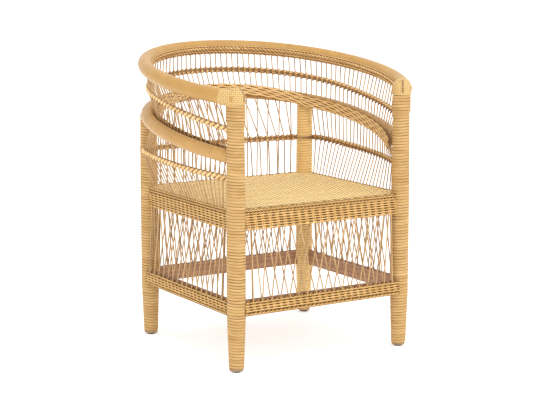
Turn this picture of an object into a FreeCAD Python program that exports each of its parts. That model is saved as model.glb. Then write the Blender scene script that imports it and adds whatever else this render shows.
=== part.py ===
import FreeCAD, Part
import math
import os

# A lamu armchair: four cane-wound posts, a U-shaped top rim on the front posts, a
# U-shaped arm ring over the rear posts, an openwork wall of stakes held by braids, a
# woven seat, and crossed cane lattices between the seat and the stretchers.
# The front faces -Y, +Z is up and left is -X, as seen from the front. The origin is on
# the floor, under the centre of the whole chair's box. Lengths are in millimetres.

# Posts
post_spacing_x = 561.0
post_spacing_y = 517.0
post_radius = 27.2
post_neck_radius = 24.6
post_foot_radius = 21.6
neck_start_rise = 10.0
winding_thickness = 2.2
winding_fit = 0.1
winding_foot_lift = 3.0
front_post_lap = 2.5
rear_post_lap = 13.0
glide_height = 5.0
glide_radius = 13.0

# Cane lashings wound round the tops of the front posts, under the caps
lashing_turns = 4
lashing_pitch = 9.6
lashing_radius = 27.5
lashing_cane = 8.9
lashing_top_room = 1.2

# Woven caps over the joints of the front posts and the rim
cap_radius = 27.5
cap_skirt_height = 20.5
cap_wall = 2.2
cap_collar_run = 36.0
cap_fit = 0.2

# Top rim
rim_radius = 21.0
rim_front_rise = 307.4
rim_tilt = 8.3
rim_front_outset = 9.5
rim_side_bulge = 88.5
rim_widest_run = 256.5
rim_back_bulge = 143.2
rim_corner_start_share = 0.51
rim_corner_end_angle = 66.3
rim_end_run = 8.0

# Braid under the inner edge of the rim
rim_braid_width = 11.0
rim_braid_thickness = 6.0
rim_braid_angle = 47.0

# Arm ring
arm_radius = 19.0
arm_front_rise = 140.7
arm_tilt = 10.45
arm_front_inset = 8.5
arm_side_bulge = 75.5
arm_widest_run = 279.2
arm_back_bulge = 130.8
arm_corner_start_share = 0.24
arm_corner_end_angle = 45.0
arm_band_height = 37.0
arm_band_thickness = 5.0

# Upper braid, between the rim and the arm ring
upper_front_rise = 217.8
upper_tilt = 9.95
upper_front_outset = 3.0
upper_side_bulge = 59.4
upper_widest_run = 279.5
upper_back_bulge = 137.6
upper_corner_start_share = 0.31
upper_corner_end_angle = 72.7

# Lower braid, between the arm ring and the seat
lower_front_rise = 81.6
lower_tilt = 3.5
lower_front_inset = 4.0
lower_side_bulge = 52.0
lower_widest_run = 314.0
lower_back_bulge = 19.0
lower_corner_start_share = 0.675
lower_corner_end_angle = 85.5
belt_thickness = 3.0
belt_height = 9.0

# Both braids: a strand on each side of the stakes
strand_height = 14.0
strand_thickness = 5.0

# Stakes of the wall
stake_radius = 1.9
stake_count = 90
stake_end_room = 7.0
rim_stake_room = 43.0
layer_gap = 0.4
crossing_count = 1.75
seat_crossing_count = 2.0

# Seat
seat_height = 460.0
apron_height = 60.0
apron_thickness = 6.0
apron_outset = 14.5
mat_thickness = 6.0
mat_edge_room = 1.2
rail_height = 42.0
rail_thickness = 18.0
slat_count = 4
slat_width = 50.0
slat_thickness = 12.0

# Stretchers
stretcher_top = 202.0
stretcher_height = 41.0
stretcher_outset = 25.0
stretcher_band_thickness = 8.0
board_height = 46.0
board_thickness = 15.0
band_bead = 1.8
band_bead_height = 10.0

# Lattices between the seat and the stretchers
lattice_radius = 1.9
lattice_pitch = 29.0
lattice_lean = 48.0

# Clearance between pieces that rest on each other
rest_gap = 0.3

# Sides and steps of the round pieces
cane_sides = 5
strand_sides = 6
hoop_sides = 12
post_sides = 16
belt_sides = 12
hoop_step = 62.0
hoop_turn_angle = 13.5

half_x = post_spacing_x / 2
half_y = post_spacing_y / 2
rim_front_z = seat_height + rim_front_rise
arm_front_z = seat_height + arm_front_rise
upper_front_z = seat_height + upper_front_rise
lower_front_z = seat_height + lower_front_rise
front_post_height = rim_front_z - rim_radius + front_post_lap
lashing_top = rim_front_z - rim_radius - lashing_top_room
lashing_bottom = lashing_top - lashing_turns * lashing_pitch - lashing_cane
stretcher_bottom = stretcher_top - stretcher_height
apron_bottom = seat_height - apron_height
layer_offset = stake_radius + layer_gap / 2
# The outer strand starts this far outside the middle of the crossed stakes.
strand_offset = layer_offset + stake_radius + rest_gap
# It starts this far outside the middle of a single row of stakes.
row_strand_offset = stake_radius + rest_gap
# The middle of the stakes lies this far inside the arm ring's centre line.
arm_wall_inset = 25.0
rim_wall_inset_share = 0.35
# The angles above level where a cap's dome changes slope.
dome_angles = (0, 22, 42, 60, 78)
# The lashings start at the inner rear of their posts.
coil_start = math.radians(140)


class Hoop:
    """A U-shaped line of five tangent arcs in a plane that rises towards the back.

    A run is a length along the line, from its right front end. An offset is measured
    outwards in the plane, and a lift square to the plane. The corner arcs start at a
    share of the way from the widest run to the reach and end at an angle, and their
    radius and the back's follow.
    """

    def __init__(self, front_half, widest_half, widest_run, reach, corner_start_share,
                 corner_end_angle, front_z, tilt):
        self.front_z = front_z
        self.tilt = math.radians(tilt)
        bulge = widest_half - front_half
        side_radius = (bulge ** 2 + widest_run ** 2) / (2 * bulge)
        side = (widest_half - side_radius, widest_run)
        start = math.asin(corner_start_share * (reach - widest_run) / side_radius)
        end = math.radians(corner_end_angle)
        across = side[0] + side_radius * math.cos(start)
        along = reach - side[1] - side_radius * math.sin(start)
        cosine_drop = math.cos(start) - math.cos(end)
        sine_rise = math.sin(end) - math.sin(start)
        scale = cosine_drop * (1 - math.sin(end)) - sine_rise * math.cos(end)
        corner_radius = (across * (1 - math.sin(end)) - along * math.cos(end)) / scale
        back_radius = (along * cosine_drop - across * sine_rise) / scale
        corner = (side[0] + (side_radius - corner_radius) * math.cos(start),
                  side[1] + (side_radius - corner_radius) * math.sin(start))
        first = math.atan2(-widest_run, front_half - side[0])
        half = [(side, side_radius, first, start), (corner, corner_radius, start, end)]
        self.arcs = half + [((0, reach - back_radius), back_radius, end, math.pi - end)]
        for (x, y), radius, one, other in reversed(half):
            self.arcs.append(((-x, y), radius, math.pi - other, math.pi - one))
        self.runs = [0]
        for centre, radius, one, other in self.arcs:
            self.runs.append(self.runs[-1] + radius * (other - one))
        self.length = self.runs[-1]

    def at(self, run, offset=0, lift=0):
        """Return the point at a run, moved by an offset and a lift."""
        index = 0
        while index < len(self.arcs) - 1 and run > self.runs[index + 1]:
            index += 1
        (x, y), radius, one, other = self.arcs[index]
        angle = one + (run - self.runs[index]) / radius
        across = x + (radius + offset) * math.cos(angle)
        along = y + (radius + offset) * math.sin(angle)
        return FreeCAD.Vector(
            across,
            along * math.cos(self.tilt) - lift * math.sin(self.tilt) - half_y,
            along * math.sin(self.tilt) + lift * math.cos(self.tilt) + self.front_z)

    def outward(self, run):
        """Return the direction in the plane, square to the line, away from its middle."""
        return (self.at(run, rest_gap) - self.at(run)).normalize()

    def stops(self, start, end):
        """Return the runs where a bar along the line bends, ends included."""
        stops = [start]
        for index, (centre, radius, one, other) in enumerate(self.arcs):
            first = start if index == 0 else max(start, self.runs[index])
            last = end if index == len(self.arcs) - 1 else min(end, self.runs[index + 1])
            if last > first:
                turn = math.degrees((last - first) / radius)
                count = math.ceil(max((last - first) / hoop_step, turn / hoop_turn_angle))
                step = (last - first) / count
                stops += [first + step * number for number in range(1, count + 1)]
        return stops

    def run_beside(self, x, y):
        """Return the run of the line's point nearest to an upright axis."""
        along = (y + half_y) / math.cos(self.tilt)
        found = []
        for index, (centre, radius, one, other) in enumerate(self.arcs):
            angle = math.atan2(along - centre[1], x - centre[0])
            if one <= angle <= other:
                gap = abs(math.dist(centre, (x, along)) - radius)
                found.append((gap, self.runs[index] + (angle - one) * radius))
        return min(found)[1]

    def bar(self, outline, start, end):
        """Return a bar along the line with an outline of offsets and lifts."""
        return lofted([[self.at(run, offset, lift) for offset, lift in outline]
                       for run in self.stops(start, end)])


def flat(corners):
    """Return the flat face between corners."""
    return Part.Face(Part.makePolygon(corners + corners[:1]))


def lofted(sections, twisted=False):
    """Return the solid that joins polygons, with each side split where it is twisted."""
    faces = [flat(sections[0]), flat(sections[-1])]
    for low, high in zip(sections, sections[1:]):
        for number in range(len(low)):
            after = (number + 1) % len(low)
            if twisted:
                faces.append(flat([low[number], low[after], high[after]]))
                faces.append(flat([low[number], high[after], high[number]]))
            else:
                faces.append(flat([low[number], low[after], high[after], high[number]]))
    shell = Part.makeShell(faces)
    shell.sewShape()
    solid = Part.makeSolid(shell)
    if solid.Volume < 0:
        solid.reverse()
    return solid


def oval(width, height, sides, middle=(0, 0), turn=0):
    """Return the corners of an oval, round a middle and turned by an angle."""
    corners = []
    for number in range(sides):
        angle = 2 * math.pi * (number + 1 / 2) / sides
        out = width / 2 * math.cos(angle)
        up = height / 2 * math.sin(angle)
        corners.append((middle[0] + out * math.cos(turn) - up * math.sin(turn),
                        middle[1] + out * math.sin(turn) + up * math.cos(turn)))
    return corners


def turned(stations, x, y, sides=post_sides):
    """Return a round solid on the upright axis at x, y from radii and heights."""
    return lofted([[FreeCAD.Vector(x + out, y + up, height)
                    for out, up in oval(2 * radius, 2 * radius, sides)]
                   for radius, height in stations])


rim_hoop = Hoop(half_x + rim_front_outset, half_x + rim_side_bulge, rim_widest_run,
                post_spacing_y + rim_back_bulge, rim_corner_start_share,
                rim_corner_end_angle,
                rim_front_z, rim_tilt)
arm_hoop = Hoop(half_x - arm_front_inset, half_x + arm_side_bulge, arm_widest_run,
                post_spacing_y + arm_back_bulge, arm_corner_start_share,
                arm_corner_end_angle,
                arm_front_z, arm_tilt)
upper_hoop = Hoop(half_x + upper_front_outset, half_x + upper_side_bulge, upper_widest_run,
                  post_spacing_y + upper_back_bulge, upper_corner_start_share,
                  upper_corner_end_angle,
                  upper_front_z, upper_tilt)
lower_hoop = Hoop(half_x - lower_front_inset, half_x + lower_side_bulge, lower_widest_run,
                  post_spacing_y + lower_back_bulge, lower_corner_start_share,
                  lower_corner_end_angle,
                  lower_front_z, lower_tilt)

rear_post_height = arm_hoop.at(arm_hoop.run_beside(half_x, half_y)).z - rear_post_lap
front_reach = half_y + max(post_radius, cap_radius, stretcher_outset + band_bead)
rear_reach = rim_hoop.at(rim_hoop.length / 2).y + rim_radius
to_box_centre = FreeCAD.Vector(0, (front_reach - rear_reach) / 2, 0)

posts = {"front_left": (-half_x, -half_y), "front_right": (half_x, -half_y),
         "rear_left": (-half_x, half_y), "rear_right": (half_x, half_y)}
parts = {}


def post_stations(top):
    """Return the outer radii and heights of a wound post, from its foot to its top."""
    stations = [(post_foot_radius, glide_height), (post_radius, stretcher_bottom),
                (post_radius, seat_height + neck_start_rise),
                (post_neck_radius, lashing_bottom)]
    return [station for station in stations if station[1] < top] + [(post_neck_radius, top)]


def post_radius_at(height):
    """Return the radius of a wound post at a height."""
    stations = post_stations(front_post_height)
    for (radius, low), (next_radius, high) in zip(stations, stations[1:]):
        if height <= high:
            return radius + (next_radius - radius) * (height - low) / (high - low)
    return post_neck_radius


def post_body(x, y, growth, bottom, top):
    """Return a post's shape, grown all round, between two heights."""
    inner = [station for station in post_stations(top) if bottom < station[1] < top]
    ends = [(post_radius_at(bottom), bottom)], [(post_radius_at(top), top)]
    stations = ends[0] + inner + ends[1]
    return turned([(radius + growth, height) for radius, height in stations], x, y)


def front_posts(growth, top=front_post_height):
    """Return both front posts' grown shapes, for cutting what meets them."""
    return [post_body(x, -half_y, growth, glide_height, top) for x in (-half_x, half_x)]


def all_posts(growth):
    """Return the four posts' grown shapes, for cutting what meets them."""
    rear = [post_body(x, half_y, growth, glide_height, rear_post_height)
            for x in (-half_x, half_x)]
    return front_posts(growth) + rear


hoops = {"rim": rim_hoop, "upper": upper_hoop, "arm": arm_hoop, "lower": lower_hoop}
end_rooms = {"rim": rim_stake_room, "upper": post_neck_radius + stake_end_room,
             "arm": post_neck_radius + stake_end_room,
             "lower": post_radius + stake_end_room}


def bay_ends(level):
    """Return the runs where the right, rear and left bays of a level start and end."""
    hoop = hoops[level]
    room = end_rooms[level]
    corner = hoop.run_beside(half_x, half_y)
    far = hoop.length - corner
    return {"right": (room, corner - room), "rear": (corner + room, far - room),
            "left": (far + room, hoop.length - room)}


def run_of(level, share):
    """Return the run at a share of the stretch of a level that holds stakes."""
    room = end_rooms[level]
    return room + share * (hoops[level].length - 2 * room)


def share_of(level, run):
    """Return the share of a level's stretch with stakes that a run is at."""
    room = end_rooms[level]
    return min(max((run - room) / (hoops[level].length - 2 * room), 0), 1)


def bay_share(level, run):
    """Return the bay that a run is in or nearest to, and its share of that bay."""
    corner = hoops[level].run_beside(half_x, half_y)
    bay = "right" if run < corner else "rear"
    if run > hoops[level].length - corner:
        bay = "left"
    first, last = bay_ends(level)[bay]
    return bay, min(max((run - first) / (last - first), 0), 1)


def bay_run(level, bay, share):
    """Return the run of a level at a share of one of its bays."""
    first, last = bay_ends(level)[bay]
    return first + share * (last - first)


def seat_point(bay, share, layer):
    """Return where a stake stands on the apron, at a share of its bay."""
    room = post_radius + stake_end_room
    outset = apron_outset - apron_thickness / 2 + layer
    across = half_x + outset
    along = (half_y - room) * (2 * share - 1)
    if bay == "right":
        return FreeCAD.Vector(across, along, seat_height)
    if bay == "left":
        return FreeCAD.Vector(-across, -along, seat_height)
    return FreeCAD.Vector((half_x - room) * (1 - 2 * share), half_y + outset, seat_height)


def wall_axes(level, run):
    """Return the outward and upward directions of the wall at a run of a level."""
    if level == "lower":
        bay, share = bay_share(level, run)
        below = seat_point(bay, share, 0)
        above = arm_hoop.at(bay_run("arm", bay, share), -arm_wall_inset)
    elif level == "arm":
        below = lower_hoop.at(bay_run("lower", *bay_share(level, run)))
        above = upper_hoop.at(run_of("upper", share_of(level, run)))
    else:
        share = share_of(level, run)
        below = arm_hoop.at(run_of("arm", share), -arm_wall_inset)
        above = rim_hoop.at(run_of("rim", share), -rim_radius * rim_wall_inset_share,
                            -rim_radius)
    up = (above - below).normalize()
    out = hoops[level].outward(run)
    return (out - up * out.dot(up)).normalize(), up


def wall_point(level, run, outset):
    """Return a point square to the wall, outside (or less than 0, inside) a level."""
    return hoops[level].at(run) + wall_axes(level, run)[0] * outset


def wall_bar(level, outline, start, end):
    """Return a bar along a level with an outline of steps out of and up the wall."""
    hoop = hoops[level]
    sections = []
    for run in hoop.stops(start, end):
        out, up = wall_axes(level, run)
        sections.append([hoop.at(run) + out * across + up * along
                         for across, along in outline])
    return lofted(sections, twisted=True)


def make_posts():
    """Make the post poles, their cane windings and the glides under them."""
    rim_seat = rim_bar(rest_gap)
    arm_seat = round_bar(arm_hoop, arm_radius + rest_gap, 0, arm_hoop.length)
    glides = []
    for name, (x, y) in posts.items():
        front = name.startswith("front")
        top = front_post_height if front else rear_post_height
        seat = rim_seat if front else arm_seat
        winding_top = lashing_bottom - rest_gap if front else top
        pole = post_body(x, y, -winding_thickness - winding_fit, glide_height, winding_top)
        if front:
            neck_radius = lashing_radius - lashing_cane - rest_gap
            pole = pole.fuse(turned([(neck_radius, winding_top), (neck_radius, top)], x, y))
        parts["post_pole_" + name] = pole.cut(seat)
        foot = glide_height + winding_foot_lift
        winding = post_body(x, y, 0, foot, winding_top)
        bore = post_body(x, y, -winding_thickness, glide_height,
                         max(front_post_height, rear_post_height))
        winding = winding.cut(bore)
        parts["post_winding_" + name] = winding if front else winding.cut(seat)
        glides.append(turned([(glide_radius, 0), (glide_radius, glide_height)], x, y,
                             belt_sides))
    parts["foot_glides"] = Part.makeCompound(glides)


class Coil:
    """A cane wound in even turns round an upright axis, rising as it goes."""

    def __init__(self, x, y, hand):
        self.x = x
        self.y = y
        self.hand = hand
        self.radius = lashing_radius - lashing_cane / 2

    def outward(self, turn):
        """Return the level direction away from the axis at a turn."""
        angle = coil_start + 2 * math.pi * turn
        return FreeCAD.Vector(self.hand * math.cos(angle), math.sin(angle), 0)

    def at(self, turn):
        """Return the point of the cane's middle at a turn."""
        height = lashing_bottom + lashing_cane / 2 + lashing_pitch * turn
        return FreeCAD.Vector(self.x, self.y, height) + self.outward(turn) * self.radius

    def way(self, turn):
        """Return the direction of the cane at a turn."""
        level = FreeCAD.Vector(0, 0, self.hand).cross(self.outward(turn))
        rise = lashing_pitch / (2 * math.pi * self.radius)
        return (level + FreeCAD.Vector(0, 0, rise)).normalize()

    def solid(self):
        """Return the cane as one tube, with its two ends running straight."""
        first = self.at(0)
        last = self.at(lashing_turns)
        foot = first - self.way(0) * lashing_cane
        edges = [Part.LineSegment(foot, first).toShape()]
        for number in range(2 * lashing_turns):
            turn = number / 2
            after = (number + 1) / 2
            edges += biarc(self.at(turn), self.way(turn), self.at(after), self.way(after))
        tip = last + self.way(lashing_turns) * lashing_cane
        edges.append(Part.LineSegment(last, tip).toShape())
        out = self.outward(0)
        up = out.cross(self.way(0))
        corners = [foot + out * across + up * along
                   for across, along in oval(lashing_cane, lashing_cane, cane_sides)]
        section = Part.makePolygon(corners + corners[:1])
        return Part.Wire(edges).makePipeShell([section], True, False)

    def least_gap(self):
        """Return the least gap between turns that lie on each other, from points."""
        gaps = []
        for step in range((lashing_turns - 1) * post_sides + 1):
            for near in (-1, 0, 1):
                one = self.at(step / post_sides)
                other = self.at((step + near) / post_sides + 1)
                gaps.append(one.distanceToPoint(other) - lashing_cane)
        return min(gaps)


def biarc(start, start_way, end, end_way):
    """Return two tangent arcs from a start to an end, along the directions at both."""
    chord = end - start
    both = start_way + end_way
    spread = 2 * (1 - start_way.dot(end_way))
    along = chord.dot(both)
    reach = (math.sqrt(along ** 2 + spread * chord.dot(chord)) - along) / spread
    joint = (start + end + (start_way - end_way) * reach) / 2
    arcs = []
    for one, other, corner in ((start, joint, start + start_way * reach),
                               (joint, end, end - end_way * reach)):
        middle = (one + other) / 2
        to_corner = corner - middle
        half = (other - one).Length / 2
        rise = half * math.tan(math.atan2(to_corner.Length, half) / 2)
        arcs.append(Part.Arc(one, middle + to_corner.normalize() * rise, other).toShape())
    return arcs


def make_lashings():
    """Make the lashings wound round the tops of the front posts."""
    coils = [Coil(side * half_x, -half_y, side) for side in (-1, 1)]
    parts["post_lashings"] = Part.makeCompound([coil.solid() for coil in coils])
    print("least gap of a lashing to itself", round(coils[0].least_gap(), 2), "mm")


def round_bar(hoop, radius, start, end):
    """Return a round bar along a hoop."""
    return hoop.bar(oval(2 * radius, 2 * radius, hoop_sides), start, end)


def rim_bar(growth):
    """Return the rim's bar, grown all round."""
    start = -rim_end_run - growth
    return round_bar(rim_hoop, rim_radius + growth, start, rim_hoop.length - start)


def make_rim():
    """Make the top rim, the woven caps on its ends and the braid under its inner edge."""
    parts["top_rim"] = rim_bar(0)
    slot = rim_bar(cap_fit)
    bottom = front_post_height + rest_gap
    middle = bottom + cap_skirt_height
    for side, x in (("left", -half_x), ("right", half_x)):
        dome = [(cap_radius, bottom)]
        for angle in dome_angles:
            rise = math.radians(angle)
            dome.append((cap_radius * math.cos(rise), middle + cap_radius * math.sin(rise)))
        start = 0 if side == "right" else rim_hoop.length - cap_collar_run
        collar = round_bar(rim_hoop, rim_radius + cap_wall, start, start + cap_collar_run)
        post_top = turned([(lashing_radius + rest_gap, lashing_bottom),
                           (lashing_radius + rest_gap, bottom)], x, -half_y)
        cap = turned(dome, x, -half_y).fuse(collar)
        parts["rim_cap_" + side] = cap.cut([slot, post_top])
    angle = math.radians(rim_braid_angle)
    reach = rim_radius + rest_gap + rim_braid_thickness / 2
    middle = (-reach * math.cos(angle), -reach * math.sin(angle))
    outline = oval(rim_braid_thickness, rim_braid_width, strand_sides, middle, angle)
    room = cap_collar_run + rest_gap
    parts["rim_braid"] = rim_hoop.bar(outline, room, rim_hoop.length - room)


def make_arm_ring():
    """Make the arm ring and the woven band on its inner side."""
    ring = round_bar(arm_hoop, arm_radius, 0, arm_hoop.length)
    parts["arm_ring"] = ring.cut(front_posts(rest_gap))
    outer = -arm_wall_inset - strand_offset
    inner = outer - arm_band_thickness
    outline = [(inner, -arm_band_height / 2), (outer, -arm_band_height / 2),
               (outer, arm_band_height / 2), (inner, arm_band_height / 2)]
    band = wall_bar("arm", outline, 0, arm_hoop.length)
    parts["arm_band"] = band.cut(front_posts(rest_gap))


def strand(level, side, offset, start, end):
    """Return one strand of a braid, outside (1) or inside (-1) the stakes."""
    middle = (side * (offset + strand_thickness / 2), 0)
    outline = oval(strand_thickness, strand_height, strand_sides, middle)
    return wall_bar(level, outline, start, end)


def make_upper_braid():
    """Make both strands of the upper braid."""
    for name, side in (("outer", 1), ("inner", -1)):
        bar = strand("upper", side, row_strand_offset, 0, upper_hoop.length)
        parts["upper_braid_" + name] = bar.cut(front_posts(rest_gap))


def make_lower_braid():
    """Make the lower braid's three stretches and its belts round the rear posts."""
    corner = lower_hoop.run_beside(half_x, half_y)
    stretches = {"right": (0, corner), "rear": (corner, lower_hoop.length - corner),
                 "left": (lower_hoop.length - corner, lower_hoop.length)}
    belt_z = lower_hoop.at(corner).z
    belts = []
    belt_room = []
    for x in (-half_x, half_x):
        radius = post_radius_at(belt_z) + belt_thickness
        belt = turned([(radius, belt_z - belt_height / 2),
                       (radius, belt_z + belt_height / 2)], x, half_y, belt_sides)
        belts.append(belt.cut(post_body(x, half_y, rest_gap, glide_height,
                                        rear_post_height)))
        belt_room.append(turned([(radius + rest_gap, belt_z - strand_height),
                                 (radius + rest_gap, belt_z + strand_height)], x, half_y))
    parts["lower_braid_belts"] = Part.makeCompound(belts)
    for name, (start, end) in stretches.items():
        offset = strand_offset if name == "rear" else row_strand_offset
        bars = [strand("lower", side, offset, start, end) for side in (1, -1)]
        bars = [bar.cut(front_posts(rest_gap) + belt_room) for bar in bars]
        parts["lower_braid_" + name] = Part.makeCompound(bars)


def cane(points, radius):
    """Return a thin cane through points, with its sections and ends level."""
    outline = oval(2 * radius, 2 * radius, cane_sides)
    return lofted([[point + FreeCAD.Vector(out, up, 0) for out, up in outline]
                   for point in points])


def crossed(share, count, pitch_share, layer):
    """Return a share moved sideways past a count of stakes, less so at the posts."""
    taper = 1 - (2 * share - 1) ** 4
    side = 1 if layer > 0 else -1
    return share + side * count * pitch_share * taper


def make_stakes():
    """Make the wall's stakes, bent at each braid, and the short ones over the posts."""
    groups = {"right": [], "rear": [], "left": [], "corner": []}
    arm_bays = bay_ends("arm")
    rim_inset = rim_radius * rim_wall_inset_share
    rim_drop = math.sqrt(rim_radius ** 2 - (rim_inset - stake_radius) ** 2) + rest_gap
    for index in range(stake_count):
        share = index / (stake_count - 1)
        layer = 0
        run = run_of("arm", share)
        home = "corner"
        for bay, (first, last) in arm_bays.items():
            if first <= run <= last:
                home = bay
                low = high = (run - first) / (last - first)
                pitch_share = arm_hoop.length / stake_count / (last - first)
        if home == "rear":
            layer = layer_offset if index % 2 == 0 else -layer_offset
            low, high = [crossed(low, count, pitch_share, layer)
                         for count in (crossing_count, seat_crossing_count)]
        points = [rim_hoop.at(run_of("rim", share), -rim_inset, -rim_drop),
                  wall_point("upper", run_of("upper", share), 0),
                  wall_point("arm", run, layer - arm_wall_inset)]
        if home != "corner":
            points.append(wall_point("lower", bay_run("lower", home, low), layer))
            points.append(seat_point(home, high, layer))
        groups[home].append(cane(points, stake_radius))
    for name, canes in groups.items():
        parts["wall_stakes_" + name] = Part.makeCompound(canes)


def side_frames():
    """Return each side's name, middle, direction along it, outward way and length."""
    across = FreeCAD.Vector(1, 0, 0)
    along = FreeCAD.Vector(0, 1, 0)
    return [("front", along * -half_y, across, along * -1, post_spacing_x),
            ("rear", along * half_y, across * -1, along, post_spacing_x),
            ("left", across * -half_x, along * -1, across * -1, post_spacing_y),
            ("right", across * half_x, along, across, post_spacing_y)]


def side_bar(middle, heading, outward, length, outline):
    """Return a bar along one side with an outline of outward steps and heights."""
    start = middle - heading * (length / 2)
    corners = [start + outward * out + FreeCAD.Vector(0, 0, height)
               for out, height in outline]
    face = Part.Face(Part.makePolygon(corners + corners[:1]))
    return face.extrude(heading * length)


def beaded_outline(inner, thickness, bottom, height):
    """Return a band's outline with a proud border row along each edge."""
    outer = inner + thickness
    top = bottom + height
    half_bead = band_bead_height / 2
    return [(inner, bottom), (outer, bottom), (outer + band_bead, bottom + half_bead),
            (outer, bottom + band_bead_height), (outer, top - band_bead_height),
            (outer + band_bead, top - half_bead), (outer, top), (inner, top)]


def block_outline(outer, thickness, bottom, height):
    """Return a plain board's outline."""
    inner = outer - thickness
    return [(inner, bottom), (outer, bottom), (outer, bottom + height),
            (inner, bottom + height)]


def make_sides():
    """Make each side's seat rail, apron, lattice, stretcher board and woven band."""
    room = all_posts(rest_gap)
    rail_outer = apron_outset - apron_thickness - rest_gap
    mat_bottom = seat_height - mat_thickness
    band_inner = stretcher_outset - stretcher_band_thickness
    board_bottom = stretcher_top - (stretcher_height + board_height) / 2
    for name, middle, heading, outward, length in side_frames():
        place = (middle, heading, outward, length)
        outlines = {
            "seat_rail_": block_outline(rail_outer, rail_thickness,
                                        mat_bottom - rail_height, rail_height),
            "apron_": beaded_outline(apron_outset - apron_thickness, apron_thickness,
                                     apron_bottom, apron_height),
            "stretcher_board_": block_outline(band_inner - rest_gap, board_thickness,
                                              board_bottom, board_height),
            "stretcher_band_": beaded_outline(band_inner, stretcher_band_thickness,
                                              stretcher_bottom, stretcher_height)}
        for prefix, outline in outlines.items():
            parts[prefix + name] = side_bar(*place, outline).cut(room)
        parts["lattice_" + name] = lattice(*place)


def lattice(middle, heading, outward, length):
    """Return one side's crossed canes, leaning left outside and right inside."""
    free = length / 2 - post_radius - lattice_pitch / 2
    count = round(2 * free / lattice_pitch) + 1
    step = 2 * free / (count - 1)
    top_out = apron_outset - apron_thickness / 2
    foot_out = stretcher_outset - stretcher_band_thickness / 2
    layer_step = lattice_radius + layer_gap / 2
    canes = []
    for index in range(count):
        foot = -free + index * step
        taper = 1 - (foot / free) ** 4
        for side in (1, -1):
            top = foot + side * lattice_lean * taper
            points = []
            for place, out, height in ((foot, foot_out, stretcher_top),
                                       (top, top_out, apron_bottom)):
                reach = outward * (out + side * layer_step)
                points.append(middle + heading * place + reach
                              + FreeCAD.Vector(0, 0, height))
            canes.append(cane(points, lattice_radius))
    return Part.makeCompound(canes)


def make_seat():
    """Make the woven mat and the slats under it."""
    outset = apron_outset - apron_thickness - rest_gap
    width = post_spacing_x + 2 * (outset - mat_edge_room)
    depth = post_spacing_y + 2 * (outset - mat_edge_room)
    bottom = seat_height - mat_thickness
    mat = Part.makeBox(width, depth, mat_thickness,
                       FreeCAD.Vector(-width / 2, -depth / 2, bottom))
    parts["seat_mat"] = mat.cut(all_posts(rest_gap))
    reach = half_y + outset - rail_thickness - rest_gap
    pitch = (post_spacing_x - 2 * rail_thickness) / (slat_count + 1)
    for index in range(slat_count):
        x = (index - (slat_count - 1) / 2) * pitch
        corner = FreeCAD.Vector(x - slat_width / 2, -reach, bottom - slat_thickness)
        slat = Part.makeBox(slat_width, 2 * reach, slat_thickness, corner)
        parts["seat_slat_" + str(index + 1)] = slat


make_posts()
make_lashings()
make_rim()
make_arm_ring()
make_upper_braid()
make_lower_braid()
make_stakes()
make_sides()
make_seat()

os.makedirs("parts", exist_ok=True)
for name, shape in parts.items():
    shape.translate(to_box_centre)
    shape.exportStep("parts/" + name + ".step")
print(len(parts), "nodes")
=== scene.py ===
import logging
import math
from dataclasses import asdict, dataclass, field
from enum import Enum
from typing import Callable, Dict, Iterable, List, Optional, Sequence, Tuple, Union

import bpy
import numpy as np
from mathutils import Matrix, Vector


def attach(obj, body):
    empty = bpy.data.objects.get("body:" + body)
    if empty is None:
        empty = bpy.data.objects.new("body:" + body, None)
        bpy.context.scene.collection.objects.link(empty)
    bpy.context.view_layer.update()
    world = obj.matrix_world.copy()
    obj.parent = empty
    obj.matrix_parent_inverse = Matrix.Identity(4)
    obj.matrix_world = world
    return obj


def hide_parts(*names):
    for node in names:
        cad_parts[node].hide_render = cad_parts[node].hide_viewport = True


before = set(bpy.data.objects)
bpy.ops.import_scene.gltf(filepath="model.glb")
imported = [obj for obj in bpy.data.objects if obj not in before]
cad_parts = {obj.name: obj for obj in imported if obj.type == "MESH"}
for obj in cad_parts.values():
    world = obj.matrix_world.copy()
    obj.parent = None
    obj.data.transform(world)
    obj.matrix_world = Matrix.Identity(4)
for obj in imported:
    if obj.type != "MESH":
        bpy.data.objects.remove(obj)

log = logging.getLogger("cane_chair")

Colour = Tuple[float, float, float]
Corner = Tuple[float, float]
MM = 0.001
UP = Vector((0.0, 0.0, 1.0))


# Meshes


def keep(mesh: bpy.types.Mesh, name: str, domain: str, values: Sequence) -> None:
    """Store numbers or vectors on a mesh.

    Args:
        mesh: The mesh.
        name: The attribute's name.
        domain: "POINT" or "CORNER".
        values: A number or a vector for each point or corner.
    """
    rows = np.array(values, dtype=np.float32)
    kind, label = ("FLOAT", "value") if rows.ndim == 1 else ("FLOAT_VECTOR", "vector")
    mesh.attributes.new(name, kind, domain).data.foreach_set(label, rows.ravel())


def placed(name: str, data: bpy.types.ID) -> bpy.types.Object:
    """Put a mesh, lamp or camera into the scene.

    Args:
        name: The object's name.
        data: The mesh, lamp or camera.

    Returns:
        The object.
    """
    obj = bpy.data.objects.new(name, data)
    bpy.context.scene.collection.objects.link(obj)
    return obj


def harden(obj: bpy.types.Object) -> bpy.types.Object:
    """Keep the mesh that an object's modifiers make.

    Args:
        obj: The object.

    Returns:
        The same object.
    """
    graph = bpy.context.evaluated_depsgraph_get()
    mesh = bpy.data.meshes.new_from_object(obj.evaluated_get(graph),
                                           preserve_all_data_layers=True, depsgraph=graph)
    obj.modifiers.clear()
    mesh.name = obj.name
    obj.data = mesh
    return obj


# Node trees


def operator(operation: str, swapped: bool = False) -> Callable[["Flow", "Term"], "Flow"]:
    """Make a method that joins two values by a maths node.

    Args:
        operation: The node's operation.
        swapped: Whether the other value comes first.

    Returns:
        The method.
    """
    def method(self: "Flow", other: "Term") -> "Flow":
        """Add the maths node."""
        return self.tree.sum(operation, *((other, self) if swapped else (self, other)))

    return method


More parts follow.
